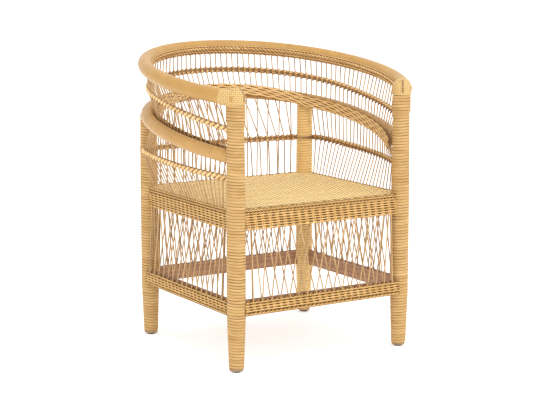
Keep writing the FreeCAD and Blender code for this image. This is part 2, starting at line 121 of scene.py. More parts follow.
class Flow:
    """A value that runs through a node tree, on which arithmetic adds nodes."""

    def __init__(self, tree: "Tree", socket: bpy.types.NodeSocket) -> None:
        """Hold one output socket."""
        self.tree = tree
        self.socket = socket

    @property
    def is_vector(self) -> bool:
        """Tell whether the value has three parts."""
        return self.socket.type in ("VECTOR", "RGBA")

    __add__ = operator("ADD")
    __radd__ = operator("ADD", swapped=True)
    __sub__ = operator("SUBTRACT")
    __rsub__ = operator("SUBTRACT", swapped=True)
    __mul__ = operator("MULTIPLY")
    __rmul__ = operator("MULTIPLY", swapped=True)
    __truediv__ = operator("DIVIDE")

    def __neg__(self) -> "Flow":
        """Turn the sign round."""
        return self * -1.0

    def __abs__(self) -> "Flow":
        """Drop the sign."""
        return self.of("ABSOLUTE")

    def of(self, operation: str, *others: "Term") -> "Flow":
        """Apply another operation of the maths node."""
        return self.tree.sum(operation, self, *others)

    def ramp(self, low: float, high: float) -> "Flow":
        """Rise smoothly from 0 to 1."""
        return self.tree.flow("ShaderNodeMapRange", 0, {0: self, 1: low, 2: high},
                              interpolation_type="SMOOTHSTEP")


Term = Union[Flow, float]


class Tree:
    """A node tree that is filled from code."""

    def __init__(self, nodes: bpy.types.NodeTree) -> None:
        """Start with an existing tree."""
        self.nodes = nodes

    @staticmethod
    def socket(sockets: Iterable, key: Union[int, str]) -> bpy.types.NodeSocket:
        """Find a socket by place, identifier or name.

        Args:
            sockets: A node's inputs or outputs.
            key: The place, identifier or name.

        Returns:
            The socket.
        """
        if isinstance(key, int):
            return sockets[key]
        for one in sockets:
            if one.identifier == key:
                return one
        return next(one for one in sockets if one.name == key and one.enabled)

    def node(self, kind: str, inputs: Optional[dict] = None, **settings) -> bpy.types.Node:
        """Add a node.

        Args:
            kind: The node's type.
            inputs: What each input takes, by place, identifier or name.
            settings: The node's own options.

        Returns:
            The node.
        """
        node = self.nodes.nodes.new(kind)
        for name, value in settings.items():
            setattr(node, name, value)
        for key, value in (inputs or {}).items():
            socket = self.socket(node.inputs, key)
            if isinstance(value, Flow):
                self.nodes.links.new(value.socket, socket)
            else:
                socket.default_value = value
        return node

    def flow(self, kind: str, output: Union[int, str], inputs: Optional[dict] = None,
             **settings) -> Flow:
        """Add a node and take one of its outputs."""
        node = self.node(kind, inputs, **settings)
        return Flow(self, self.socket(node.outputs, output))

    def sum(self, operation: str, *terms: Term) -> Flow:
        """Add a maths node, for numbers or for vectors.

        Args:
            operation: The node's operation.
            terms: The operation's inputs.

        Returns:
            The result.
        """
        vectors = [isinstance(term, Flow) and term.is_vector for term in terms]
        if not any(vectors):
            return self.flow("ShaderNodeMath", 0, dict(enumerate(terms)),
                             operation=operation)
        if operation == "MULTIPLY" and not all(vectors):
            first, second = terms if vectors[0] else terms[::-1]
            return self.flow("ShaderNodeVectorMath", 0, {"Vector": first, "Scale": second},
                             operation="SCALE")
        return self.flow("ShaderNodeVectorMath", 0, dict(enumerate(terms)),
                         operation=operation)

    def vector(self, x: Term, y: Term, z: Term) -> Flow:
        """Join three numbers."""
        return self.flow("ShaderNodeCombineXYZ", 0, {0: x, 1: y, 2: z})

    def parts(self, vector: Flow) -> Tuple[Flow, Flow, Flow]:
        """Split a vector."""
        node = self.node("ShaderNodeSeparateXYZ", {0: vector})
        return tuple(Flow(self, node.outputs[index]) for index in range(3))

    def noise(self, vector: Flow, scale: float = 1.0, detail: float = 2.0) -> Flow:
        """Sample smooth noise."""
        return self.flow("ShaderNodeTexNoise", 0,
                         {"Vector": vector, "Scale": scale, "Detail": detail})


class ShaderTree(Tree):
    """The node tree of one material, with one principled surface."""

    def __init__(self, material: bpy.types.Material) -> None:
        """Empty a material's tree and give it a surface.

        Args:
            material: The material.
        """
        material.use_nodes = True
        super().__init__(material.node_tree)
        self.nodes.nodes.clear()
        self.surface = self.node("ShaderNodeBsdfPrincipled")
        shade = Flow(self, self.surface.outputs[0])
        self.node("ShaderNodeOutputMaterial", {"Surface": shade})

    def attribute(self, name: str) -> Flow:
        """Read a number that the mesh carries."""
        return self.flow("ShaderNodeAttribute", "Fac", attribute_name=name)

    def cloud(self, x: Term, y: Term, z: Term, detail: float = 2.0) -> Flow:
        """Sample smooth noise at three numbers."""
        return self.noise(self.vector(x, y, z), 1.0, detail)

    def mix(self, share: Term, first: Union[Flow, Colour], second: Union[Flow, Colour]) -> Flow:
        """Mix two colours.

        Args:
            share: How much of the second colour there is.
            first: The first colour.
            second: The second colour.

        Returns:
            The mixed colour.
        """
        ends = [one if isinstance(one, Flow) else (*one, 1.0) for one in (first, second)]
        return self.flow("ShaderNodeMix", "Result_Color",
                         {"Factor_Float": share, "A_Color": ends[0], "B_Color": ends[1]},
                         data_type="RGBA")

    def crevice(self, distance: float) -> Flow:
        """Tell how much of the surroundings a point can't see, which the finishes use to paint
        shade.

        Args:
            distance: How far away what hides it may be.

        Returns:
            1 in a deep gap and 0 in the open.
        """
        open_share = self.flow("ShaderNodeAmbientOcclusion", "AO", {"Distance": distance},
                               samples=6, only_local=False)
        return 1.0 - open_share

    def bump(self, height: Flow, strength: float, distance: float) -> None:
        """Let a height tilt the surface.

        Args:
            height: The height.
            strength: How much of it shows.
            distance: How far a height of 1 is.
        """
        normal = self.flow("ShaderNodeBump", 0, {"Strength": strength, "Distance": distance,
                                                 "Height": height})
        self.put("Normal", normal)

    def gloss(self, mirror: float, coat: float, dullness: float = 0.03) -> None:
        """Set how the surface shines.

        Args:
            mirror: How much it mirrors.
            coat: How strong its thin coat is.
            dullness: How rough that coat is.
        """
        for name, value in (("Specular IOR Level", mirror), ("Coat Weight", coat),
                            ("Coat Roughness", dullness)):
            self.put(name, value)

    def put(self, name: str, value: Union[Term, Colour]) -> None:
        """Set one input of the surface.

        Args:
            name: The input's name.
            value: A flow, a number or a colour.
        """
        socket = self.surface.inputs[name]
        if isinstance(value, Flow):
            self.nodes.links.new(value.socket, socket)
        else:
            socket.default_value = (*value, 1.0) if isinstance(value, tuple) else value


class ShapeTree(Tree):
    """A tree of geometry nodes that sweeps an outline along lines."""

    def __init__(self, name: str, inputs: Dict[str, str]) -> None:
        """Make the tree and its sockets.

        Args:
            name: The tree's name.
            inputs: The type of each named input that only this tree has.
        """
        super().__init__(bpy.data.node_groups.new(name, "GeometryNodeTree"))
        face = self.nodes.interface
        face.new_socket("Geometry", in_out="INPUT", socket_type="NodeSocketGeometry")
        self.sockets = {}
        shared = {"Jitter": "Float", "Sides": "Int", "Seed": "Float", "Finish": "Material"}
        for label, kind in {**inputs, **shared}.items():
            made = face.new_socket(label, in_out="INPUT", socket_type="NodeSocket" + kind)
            self.sockets[label] = made.identifier
        face.new_socket("Geometry", in_out="OUTPUT", socket_type="NodeSocketGeometry")
        self.group = self.node("NodeGroupInput")
        self.lines = self.flow("GeometryNodeMeshToCurve", 0,
                               {0: Flow(self, self.group.outputs[0])})

    def given(self, name: str) -> Flow:
        """Read one of the tree's inputs."""
        return Flow(self, self.group.outputs[name])

    def named(self, name: str, kind: str = "FLOAT") -> Flow:
        """Read an attribute of the geometry."""
        return self.flow("GeometryNodeInputNamedAttribute", "Attribute", {"Name": name},
                         data_type=kind)

    def store(self, geometry: Flow, name: str, value: Flow) -> Flow:
        """Keep a number on each point.

        Args:
            geometry: The geometry.
            name: The attribute's name.
            value: The number.

        Returns:
            The geometry with the attribute.
        """
        return self.flow("GeometryNodeStoreNamedAttribute", 0,
                         {"Geometry": geometry, "Name": name, "Value": value},
                         data_type="FLOAT", domain="POINT")

    def strays(self, place: Flow, shift: Tuple[float, float, float]) -> List[Flow]:
        """Make two numbers that wander along the lines."""
        return [(self.noise(one) - 0.5) * (self.given("Jitter") * 3.0)
                for one in (place, place + self.vector(*shift))]

    def moved(self, curves: Flow, step_out: Flow, step_up: Flow) -> Flow:
        """Move the points of curves.

        Args:
            curves: The curves.
            step_out: How far they move along the way out.
            step_up: How far they move along the way up.

        Returns:
            The moved curves.
        """
        out, up = (self.named(label, "FLOAT_VECTOR") for label in ("out", "up"))
        return self.flow("GeometryNodeSetPosition", 0,
                         {"Geometry": curves, "Offset": out * step_out + up * step_up})

    def outline(self, label: str, axis: int, wide: Flow, deep: Flow) -> Flow:
        """Make the outline of a strand.

        Args:
            label: The attribute that keeps the place round it.
            axis: The axis on which that place is read.
            wide: Its half size along the first axis.
            deep: Its half size along the second axis.

        Returns:
            An oval.
        """
        ring = self.flow("GeometryNodeCurvePrimitiveCircle", 0,
                         {"Resolution": self.given("Sides"), "Radius": 1.0}, mode="RADIUS")
        place = self.parts(self.flow("GeometryNodeInputPosition", 0))[axis]
        return self.flow("GeometryNodeTransform", 0,
                         {"Geometry": self.store(ring, label, place),
                          "Scale": self.vector(wide, deep, 1.0)})

    def close(self, curves: Flow, outline: Flow) -> None:
        """Sweep the outline, smooth and dress the result, and end the tree with it.

        Args:
            curves: The finished curves.
            outline: The outline.
        """
        geometry = self.flow("GeometryNodeCurveToMesh", 0,
                             {"Curve": curves, "Profile Curve": outline, "Fill Caps": True})
        for kind in ("GeometryNodeSetShadeSmooth", "GeometryNodeRealizeInstances"):
            geometry = self.flow(kind, 0, {"Geometry": geometry})
        dressed = self.flow("GeometryNodeSetMaterial", 0,
                            {"Geometry": geometry, "Material": self.given("Finish")})
        self.node("NodeGroupOutput", {"Geometry": dressed})

    def bake(self, obj: bpy.types.Object, values: dict) -> bpy.types.Object:
        """Run the tree on an object and keep the mesh that comes out.

        Args:
            obj: The object with the guide mesh.
            values: What each named input takes.

        Returns:
            The same object with the finished mesh.
        """
        modifier = obj.modifiers.new("shape", "NODES")
        modifier.node_group = self.nodes
        for label, value in values.items():
            modifier[self.sockets[label]] = value
        return harden(obj)


# Finishes


@dataclass(frozen=True)
class Finish:
    """One material."""

    name: str

    def build(self) -> bpy.types.Material:
        """Make the material.

        Returns:
            The material.
        """
        material = bpy.data.materials.new(self.name)
        self.paint(ShaderTree(material))
        return material

    def paint(self, tree: ShaderTree) -> None:
        """Fill the material's tree."""
        raise NotImplementedError


@dataclass(frozen=True)
class CaneFinish(Finish):
    """Split or round cane laid as strands, with fibres along it.

    Attributes:
        light: The colour of the palest fibres.
        dark: The colour of the darkest fibres.
        gap: The colour of the painted shade in gaps, at strands' edges and behind other strands.
        streak: How much the fibres differ.
        variety: How much whole strands and stretches differ.
        crease: How dark the painted shade on a strand's edges is.
        crease_start: Where across the strand its painted edge shade starts.
        crease_end: Where across the strand its painted edge shade is darkest.
        bridge: How much of that is lost where the strand goes behind.
        under: How dark the painted shade on a strand is where it goes behind another.
        dusk: How far in front a strand is when its painted shade starts.
        crevice: How dark the painted shade is in spots that other pieces hide.
        uneven: How much the painted edge shade comes and goes.
        roughness: The surface's roughness.
        gloss: How much its surface mirrors.
        coat: How strong its thin coat is.
        relief: How deep the fibres are.
    """

    light: Colour
    dark: Colour
    gap: Colour = (0.16, 0.07, 0.02)
    streak: float = 0.9
    variety: float = 0.9
    crease: float = 0.6
    crease_start: float = 0.45
    crease_end: float = 1.05
    bridge: float = 0.0
    under: float = 0.5
    dusk: float = 0.35
    crevice: float = 0.7
    uneven: float = 0.0
    roughness: float = 0.5
    gloss: float = 0.15
    coat: float = 0.04
    relief: float = 0.25

    def paint(self, tree: ShaderTree) -> None:
        """Paint the fibres, then paint shade on edges, on stretches behind other strands and in
        gaps.

        Args:
            tree: The tree.
        """
        along = tree.attribute("along") * 1000.0
        side = tree.attribute("side")
        lane = tree.attribute("guide") * 7.31 + tree.attribute("strand") * 3.17
        fibres = tree.cloud(along * 0.05, side * 4.0, lane, 3.0)
        fine = tree.cloud(along * 0.3, side * 9.0, lane + 5.0)
        stretch = tree.cloud(along * 0.012, lane * 1.7, 3.0)
        tone = 0.5 + (fibres - 0.5) * (1.6 * self.streak) + (fine - 0.5) * (0.6 * self.streak)
        tone = tone + (stretch - 0.5) * (2.0 * self.variety)
        colour = tree.mix(tone.ramp(0.0, 1.0), self.dark, self.light)
        # Painted shade from here on: dark edges, stretches behind other strands and spots that
        # other pieces hide, all mixed towards the gap colour.
        depth = tree.attribute("depth")
        closed = 1.0 - (0.1 - depth).ramp(0.0, 0.5) * self.bridge
        come = tree.cloud(along * 0.009, lane, 7.0, 1.0).ramp(0.3, 0.7)
        edges = self.crease * (1.0 - self.uneven) + come * (2.0 * self.crease * self.uneven)
        shade = abs(side).ramp(self.crease_start, self.crease_end) * closed * edges
        behind = (-depth).ramp(-self.dusk, 1.0) * self.under
        hidden = tree.crevice(9 * MM).ramp(0.12, 0.85) * self.crevice
        dim = 1.0 - (1.0 - shade) * (1.0 - behind) * (1.0 - hidden)
        tree.put("Base Color", tree.mix(dim, colour, self.gap))
        tree.put("Roughness", self.roughness + (fibres - 0.5) * 0.3)
        tree.gloss(self.gloss, self.coat, 0.25)
        tree.bump(fine + fibres * 1.5, self.relief, 0.5 * MM)


@dataclass(frozen=True)
class PeelFinish(Finish):
    """Wide cane peel wound round a bar, each turn lapping the one before."""

    light: Colour
    dark: Colour
    seam: Colour = (0.36, 0.19, 0.07)
    seam_share: float = 0.07
    variety: float = 0.16
    roughness: float = 0.38
    gloss: float = 0.3
    coat: float = 0.1

    def paint(self, tree: ShaderTree) -> None:
        """Paint the turns of peel with their seams, and painted shade where other pieces hide
        them.

        Args:
            tree: The tree.
        """
        wrap = tree.attribute("wrap")
        girth = tree.attribute("girth") * 1000.0
        turn, share = wrap.of("FLOOR"), wrap.of("FRACT")
        own = tree.flow("ShaderNodeTexWhiteNoise", "Value", {"W": turn},
                        noise_dimensions="1D")
        fibres = tree.cloud(girth * 0.02, share * 14.0, turn * 2.3, 3.0)
        cloud = tree.cloud(girth * 0.03, wrap * 1.1, 4.0)
        tone = 0.5 + (own - 0.5) * self.variety + (fibres - 0.5) * 0.7 + (cloud - 0.5) * 0.5
        colour = tree.mix(tone.ramp(0.0, 1.0), self.dark, self.light)
        seam = 1.0 - share.ramp(0.0, self.seam_share)
        broken = tree.cloud(girth * 0.08, turn, 9.0, 1.0).ramp(0.25, 0.6)
        # Painted shade where other pieces hide the peel; it is mixed towards the seam colour
        # together with the darker seams, which are the peel's own joints.
        hidden = tree.crevice(10 * MM).ramp(0.15, 0.9) * 0.65
        dim = 1.0 - (1.0 - seam * (0.06 + broken * 0.3)) * (1.0 - hidden)
        tree.put("Base Color", tree.mix(dim, colour, self.seam))
        tree.put("Roughness", self.roughness + (fibres - 0.5) * 0.25)
        tree.gloss(self.gloss, self.coat, 0.22)
        tree.bump(share.ramp(0.0, 0.16) - share * 0.5 + fibres * 0.3, 0.3, 0.5 * MM)


@dataclass(frozen=True)
class CheckFinish(Finish):
    """Fine cane woven in two directions."""

    light: Colour
    dark: Colour
    gap: Colour
    pitch: float = 5.2 * MM

    def paint(self, tree: ShaderTree) -> None:
        """Paint the checks, and painted shade in spots where their corners meet, along their
        edges and where other pieces hide them.

        Args:
            tree: The tree.
        """
        across, down = [tree.attribute(name) * (1.0 / self.pitch)
                        for name in ("across", "down")]
        first, second = [(one * math.pi).of("SINE") for one in (across, down)]
        over = (first * second).ramp(-0.08, 0.08)
        edge = abs(first).of("MINIMUM", abs(second))
        cloud = tree.cloud(across * 0.2, down * 0.2, 1.0)
        colour = tree.mix(over, self.dark, self.light)
        colour = tree.mix((cloud - 0.5).ramp(-0.2, 0.3) * 0.35, colour, self.light)
        # Painted shade: dark spots where the checks' corners meet, thin dark edges between checks
        # and spots that other pieces hide, all mixed towards the gap colour.
        spot = 1.0 - abs(first).of("MAXIMUM", abs(second)).ramp(0.3, 0.8)
        gap = ((1.0 - edge.ramp(0.0, 0.3)) * 0.15).of("MAXIMUM", spot)
        hidden = tree.crevice(12 * MM).ramp(0.15, 0.9) * 0.7
        dim = 1.0 - (1.0 - gap * 0.75) * (1.0 - hidden)
        tree.put("Base Color", tree.mix(dim, colour, self.gap))
        tree.put("Roughness", 0.5)
        tree.gloss(0.2, 0.05)
        tree.bump(edge.ramp(0.0, 0.8), 0.5, 0.5 * MM)


@dataclass(frozen=True)
class StakeFinish(Finish):
    """Thin round cane with its smooth skin on."""

    light: Colour
    dark: Colour

    def paint(self, tree: ShaderTree) -> None:
        """Paint the skin, with darker and paler stretches, and painted shade where other pieces
        hide it.

        Args:
            tree: The tree.
        """
        along = tree.attribute("along") * 1000.0
        lane = tree.attribute("guide") * 7.31
        fibres = tree.cloud(along * 0.05, tree.attribute("round") * 3.0, lane, 3.0)
        stretch = tree.cloud(along * 0.008, lane, 3.0)
        tone = 0.5 + (fibres - 0.5) * 1.2 + (stretch - 0.5) * 1.8
        colour = tree.mix(tone.ramp(0.0, 1.0), self.dark, self.light)
        # Painted shade where other pieces hide the stake.
        hidden = tree.crevice(12 * MM).ramp(0.15, 0.9) * 0.7
        tree.put("Base Color", tree.mix(hidden, colour, (0.14, 0.06, 0.02)))
        tree.put("Roughness", 0.42 + (fibres - 0.5) * 0.2)
        tree.put("Coat Weight", 0.15)
        tree.bump(fibres, 0.2, 0.4 * MM)


@dataclass(frozen=True)
class BoardFinish(Finish):
    """Sawn wood with its grain along one axis."""

    along_x: bool
    light: Colour = (0.50, 0.28, 0.16)
    dark: Colour = (0.30, 0.15, 0.075)

    def paint(self, tree: ShaderTree) -> None:
        """Paint the grain, the rings and the pores, and painted shade where other pieces hide the
        board.

        Args:
            tree: The tree.
        """
        x, y, z = tree.parts(tree.flow("ShaderNodeTexCoord", "Object"))
        along, across = (x, y) if self.along_x else (y, x)
        grain = tree.cloud(along * 6.0, across * 90.0, z * 90.0, 4.0)
        rings = (z * 420.0 + across * 160.0 + grain * 9.0).of("SINE") * 0.5 + 0.5
        pores = tree.cloud(along * 40.0, across * 900.0, z * 900.0, 1.0)
        tone = grain * 0.7 + rings * 0.35 - (pores - 0.5) * 0.5
        # Painted shade where other pieces hide the board.
        hidden = tree.crevice(14 * MM).ramp(0.15, 0.9) * 0.55
        colour = tree.mix(tone.ramp(0.15, 0.95), self.dark, self.light)
        tree.put("Base Color", tree.mix(hidden, colour, (0.05, 0.025, 0.012)))
        tree.put("Roughness", 0.62 + (pores - 0.5) * 0.3)
        tree.bump(grain + pores * 0.5, 0.35, 0.4 * MM)


@dataclass(frozen=True)
class PlainFinish(Finish):
    """A surface with faint specks."""

    colour: Colour
    roughness: float = 0.6
    specks: float = 0.3

    def paint(self, tree: ShaderTree) -> None:
        """Paint the specks.

        Args:
            tree: The tree.
        """
        cloud = tree.noise(tree.flow("ShaderNodeTexCoord", "Object"), 240.0, 3.0)
        deep = tuple(part * (1.0 - self.specks) for part in self.colour)
        tree.put("Base Color", tree.mix(cloud.ramp(0.3, 0.7), deep, self.colour))
        tree.put("Roughness", self.roughness)
        tree.bump(cloud, 0.2, 0.3 * MM)


class Look(Enum):
    """The finishes of the chair's pieces."""

    POST = CaneFinish("post_cane", (0.63, 0.41, 0.175), (0.47, 0.275, 0.095), streak=1.0,
                      variety=0.7, crease=0.75, under=0.0, crevice=0.3, uneven=0.6)
    # A lighter copy of the post cane, as painted light: the rear right post takes it so that it
    # looks as brightly lit as the front posts, though the wall shades it.
    PALE_POST = CaneFinish("rear_post_cane", (0.92, 0.66, 0.30), (0.72, 0.47, 0.18),
                           streak=0.8, variety=0.4, crease=0.45, under=0.0, crevice=0.2,
                           uneven=0.6)
    LASHING = CaneFinish("lashing_cane", (0.61, 0.39, 0.165), (0.45, 0.255, 0.09),
                         crease=0.5, under=0.0, crevice=0.4, uneven=0.5)
    RIM_PEEL = PeelFinish("rim_peel", (0.53, 0.31, 0.09), (0.40, 0.215, 0.055))
    ARM_PEEL = PeelFinish("arm_peel", (0.56, 0.33, 0.11), (0.42, 0.23, 0.07))
    CAP = CheckFinish("cap_check", (0.68, 0.46, 0.195), (0.58, 0.375, 0.145),
                      (0.12, 0.06, 0.015))
    BRAID = CaneFinish("braid_cane", (0.92, 0.66, 0.34), (0.72, 0.45, 0.18),
                       (0.16, 0.06, 0.015), crease=0.65, under=0.85)
    RIM_BRAID = CaneFinish("dark_braid_cane", (0.92, 0.64, 0.31), (0.60, 0.35, 0.13),
                           (0.16, 0.06, 0.015), crease=0.55, under=0.95, dusk=0.8,
                           crevice=0.4)
    SEAM = PlainFinish("seam_cane", (0.16, 0.085, 0.03))
    ARM_BAND = CaneFinish("band_cane", (0.82, 0.56, 0.27), (0.62, 0.37, 0.14),
                          (0.15, 0.065, 0.018), under=0.95, crevice=0.9)
    SEAT = CaneFinish("seat_cane", (1.0, 0.79, 0.40), (0.96, 0.68, 0.30), variety=0.5,
                      crease=0.2, under=0.3, crevice=0.15)
    SEAT_BORDER = CaneFinish("seat_border_cane", (0.92, 0.66, 0.30), (0.76, 0.50, 0.20),
                             (0.08, 0.035, 0.01), under=1.0, dusk=0.6)
    # Its dark dashes are painted shade on the strands' edges where they lie in front.
    APRON = CaneFinish("apron_cane", (0.82, 0.51, 0.19), (0.60, 0.34, 0.105),
                       (0.08, 0.03, 0.008), crease=1.0, crease_start=0.05, crease_end=0.8,
                       bridge=1.0, under=0.1, crevice=0.8)
    STAKE = StakeFinish("stake_cane", (0.60, 0.385, 0.165), (0.34, 0.18, 0.065))
    RIB = StakeFinish("rib_cane", (0.62, 0.40, 0.18), (0.40, 0.22, 0.09))
    BOARD_X = BoardFinish("board_wood_x", True)
    BOARD_Y = BoardFinish("board_wood_y", False)
    POLE = PlainFinish("pole_wood", (0.42, 0.27, 0.14))
    GLIDE = PlainFinish("glide_plastic", (0.022, 0.019, 0.017), 0.5)


# Lines of the chair


class Level(Enum):
    """The hoops that hold the wall's stakes, from the top down."""

    RIM = "rim"
    UPPER = "upper"
    ARM = "arm"
    LOWER = "lower"


class Side(Enum):
    """The four sides of the square under the seat."""

    FRONT = "front"
    REAR = "rear"
    LEFT = "left"
    RIGHT = "right"


@dataclass(frozen=True)
class HoopSize:
    """The shape of one U-shaped line, in metres and degrees.

    Attributes:
        front_half: Half the width between its front ends.
        widest_half: Half its greatest width.
        widest_run: How far behind the front posts it is widest.
        reach: How far behind the front posts it reaches.
        start_share: Where its corner arcs start, as a share of the way back.
        end_angle: The angle at which its corner arcs end.
        front_z: The height of its front ends.
        tilt: How steeply it rises towards the back.
    """

    front_half: float
    widest_half: float
    widest_run: float
    reach: float
    start_share: float
    end_angle: float
    front_z: float
    tilt: float


@dataclass(frozen=True)
class ChairSize:
    """The sizes that the chair's parts share, in metres."""

    half_x: float = 0.2805
    half_y: float = 0.2585
    shift_y: float = -0.0649
    seat_z: float = 0.460
    post_radius: float = 0.0272
    neck_radius: float = 0.0246
    foot_radius: float = 0.0216
    glide_z: float = 0.005
    glide_radius: float = 0.013
    rear_top_z: float = 0.6777
    lashing_z: float = 0.6979
    lashing_radius: float = 0.0275
    cap_radius: float = 0.0275
    cap_bottom_z: float = 0.7492
    cap_skirt: float = 0.0205
    rim_radius: float = 0.021
    arm_radius: float = 0.019
    stake_radius: float = 0.0019
    stake_count: int = 90
    stake_room: float = 0.007
    rim_room: float = 0.043
    layer: float = 0.0021
    strand_offset: float = 0.0043
    arm_inset: float = 0.025
    rim_inset_share: float = 0.35
    crossing: float = 1.75
    seat_crossing: float = 2.0
    apron_outset: float = 0.0145
    apron_thickness: float = 0.006
    apron_height: float = 0.060
    stretcher_outset: float = 0.025
    stretcher_thickness: float = 0.008
    stretcher_z: float = 0.202
    stretcher_height: float = 0.041
    board_height: float = 0.046
    board_thickness: float = 0.015
    lattice_radius: float = 0.0019
    lattice_pitch: float = 0.029
    lattice_lean: float = 0.048
    hoops: Dict[Level, HoopSize] = field(default_factory=lambda: {
        Level.RIM: HoopSize(0.290, 0.369, 0.2565, 0.6602, 0.51, 66.3, 0.7674, 8.3),
        Level.UPPER: HoopSize(0.2835, 0.3399, 0.2795, 0.6546, 0.31, 72.7, 0.6778, 9.95),
        Level.ARM: HoopSize(0.272, 0.356, 0.2792, 0.6478, 0.24, 45.0, 0.6007, 10.45),
        Level.LOWER: HoopSize(0.2765, 0.3325, 0.314, 0.536, 0.675, 85.5, 0.5416, 3.5)})

    def post(self, name: str) -> Tuple[float, float]:
        """Tell where a post stands.

        Args:
            name: The post, such as "front_left".

        Returns:
            Its X and Y in the frame.
        """
        x = -self.half_x if name.endswith("left") else self.half_x
        y = -self.half_y if name.startswith("front") else self.half_y
        return x, y + self.shift_y

    def post_radius_at(self, z: float) -> float:
        """Tell how thick a wound post is.

        Args:
            z: The height.

        Returns:
            The outer radius there.
        """
        heights = [self.glide_z, self.stretcher_z - self.stretcher_height,
                   self.seat_z + 0.010, self.lashing_z]
        radii = [self.foot_radius, self.post_radius, self.post_radius, self.neck_radius]
        return float(np.interp(z, heights, radii))


class HoopLine:
    """A U-shaped line of five tangent arcs in a plane that rises to the back."""

    def __init__(self, size: HoopSize, plan: ChairSize) -> None:
        """Work out the arcs.

        Args:
            size: The line's shape.
            plan: The chair's shared sizes.
        """
        self.plan = plan
        self.front_z = size.front_z
        self.tilt = math.radians(size.tilt)
        bulge = size.widest_half - size.front_half
        side_radius = (bulge ** 2 + size.widest_run ** 2) / (2 * bulge)
        side = (size.widest_half - side_radius, size.widest_run)
        reach = size.reach
        start = math.asin(size.start_share * (reach - size.widest_run) / side_radius)
        end = math.radians(size.end_angle)
        across = side[0] + side_radius * math.cos(start)
        along = reach - side[1] - side_radius * math.sin(start)
        drop = math.cos(start) - math.cos(end)
        rise = math.sin(end) - math.sin(start)
        scale = drop * (1 - math.sin(end)) - rise * math.cos(end)
        corner_radius = (across * (1 - math.sin(end)) - along * math.cos(end)) / scale
        back_radius = (along * drop - across * rise) / scale
        corner = (side[0] + (side_radius - corner_radius) * math.cos(start),
                  side[1] + (side_radius - corner_radius) * math.sin(start))
        first = math.atan2(-size.widest_run, size.front_half - side[0])
        half = [(side, side_radius, first, start), (corner, corner_radius, start, end)]
        self.arcs = half + [((0.0, reach - back_radius), back_radius, end, math.pi - end)]
        for (x, y), radius, one, other in reversed(half):
            self.arcs.append(((-x, y), radius, math.pi - other, math.pi - one))
        self.runs = [0.0]
        for centre, radius, one, other in self.arcs:
            self.runs.append(self.runs[-1] + radius * (other - one))
        self.length = self.runs[-1]

    def at(self, run: float, offset: float = 0.0, lift: float = 0.0) -> Vector:
        """Find a point beside the line.

        Args:
            run: The length along the line from its right front end.
            offset: The step outwards in the line's plane.
            lift: The step square to the plane.

        Returns:
            The point in the frame.
        """
        index = 0
        while index < len(self.arcs) - 1 and run > self.runs[index + 1]:
            index += 1
        (x, y), radius, one, other = self.arcs[index]
        angle = one + (run - self.runs[index]) / radius
        along = y + (radius + offset) * math.sin(angle)
        return Vector((
            x + (radius + offset) * math.cos(angle),
            along * math.cos(self.tilt) - lift * math.sin(self.tilt)
            - self.plan.half_y + self.plan.shift_y,
            along * math.sin(self.tilt) + lift * math.cos(self.tilt) + self.front_z))

    def outward(self, run: float) -> Vector:
        """Find the direction in the plane away from the line's middle."""
        return (self.at(run, 1 * MM) - self.at(run)).normalized()

    @property
    def lift(self) -> Vector:
        """The direction square to the line's plane."""
        return Vector((0.0, -math.sin(self.tilt), math.cos(self.tilt)))

    def run_beside(self, x: float, y: float) -> float:
        """Find the run of the point nearest to an upright axis.

        Args:
            x: The axis's X.
            y: The axis's Y, from the middle of the posts.

        Returns:
            The run.
        """
        along = (y + self.plan.half_y) / math.cos(self.tilt)
        found = []
        for index, (centre, radius, one, other) in enumerate(self.arcs):
            angle = math.atan2(along - centre[1], x - centre[0])
            if one <= angle <= other:
                gap = abs(math.dist(centre, (x, along)) - radius)
                found.append((gap, self.runs[index] + (angle - one) * radius))
        return min(found)[1]


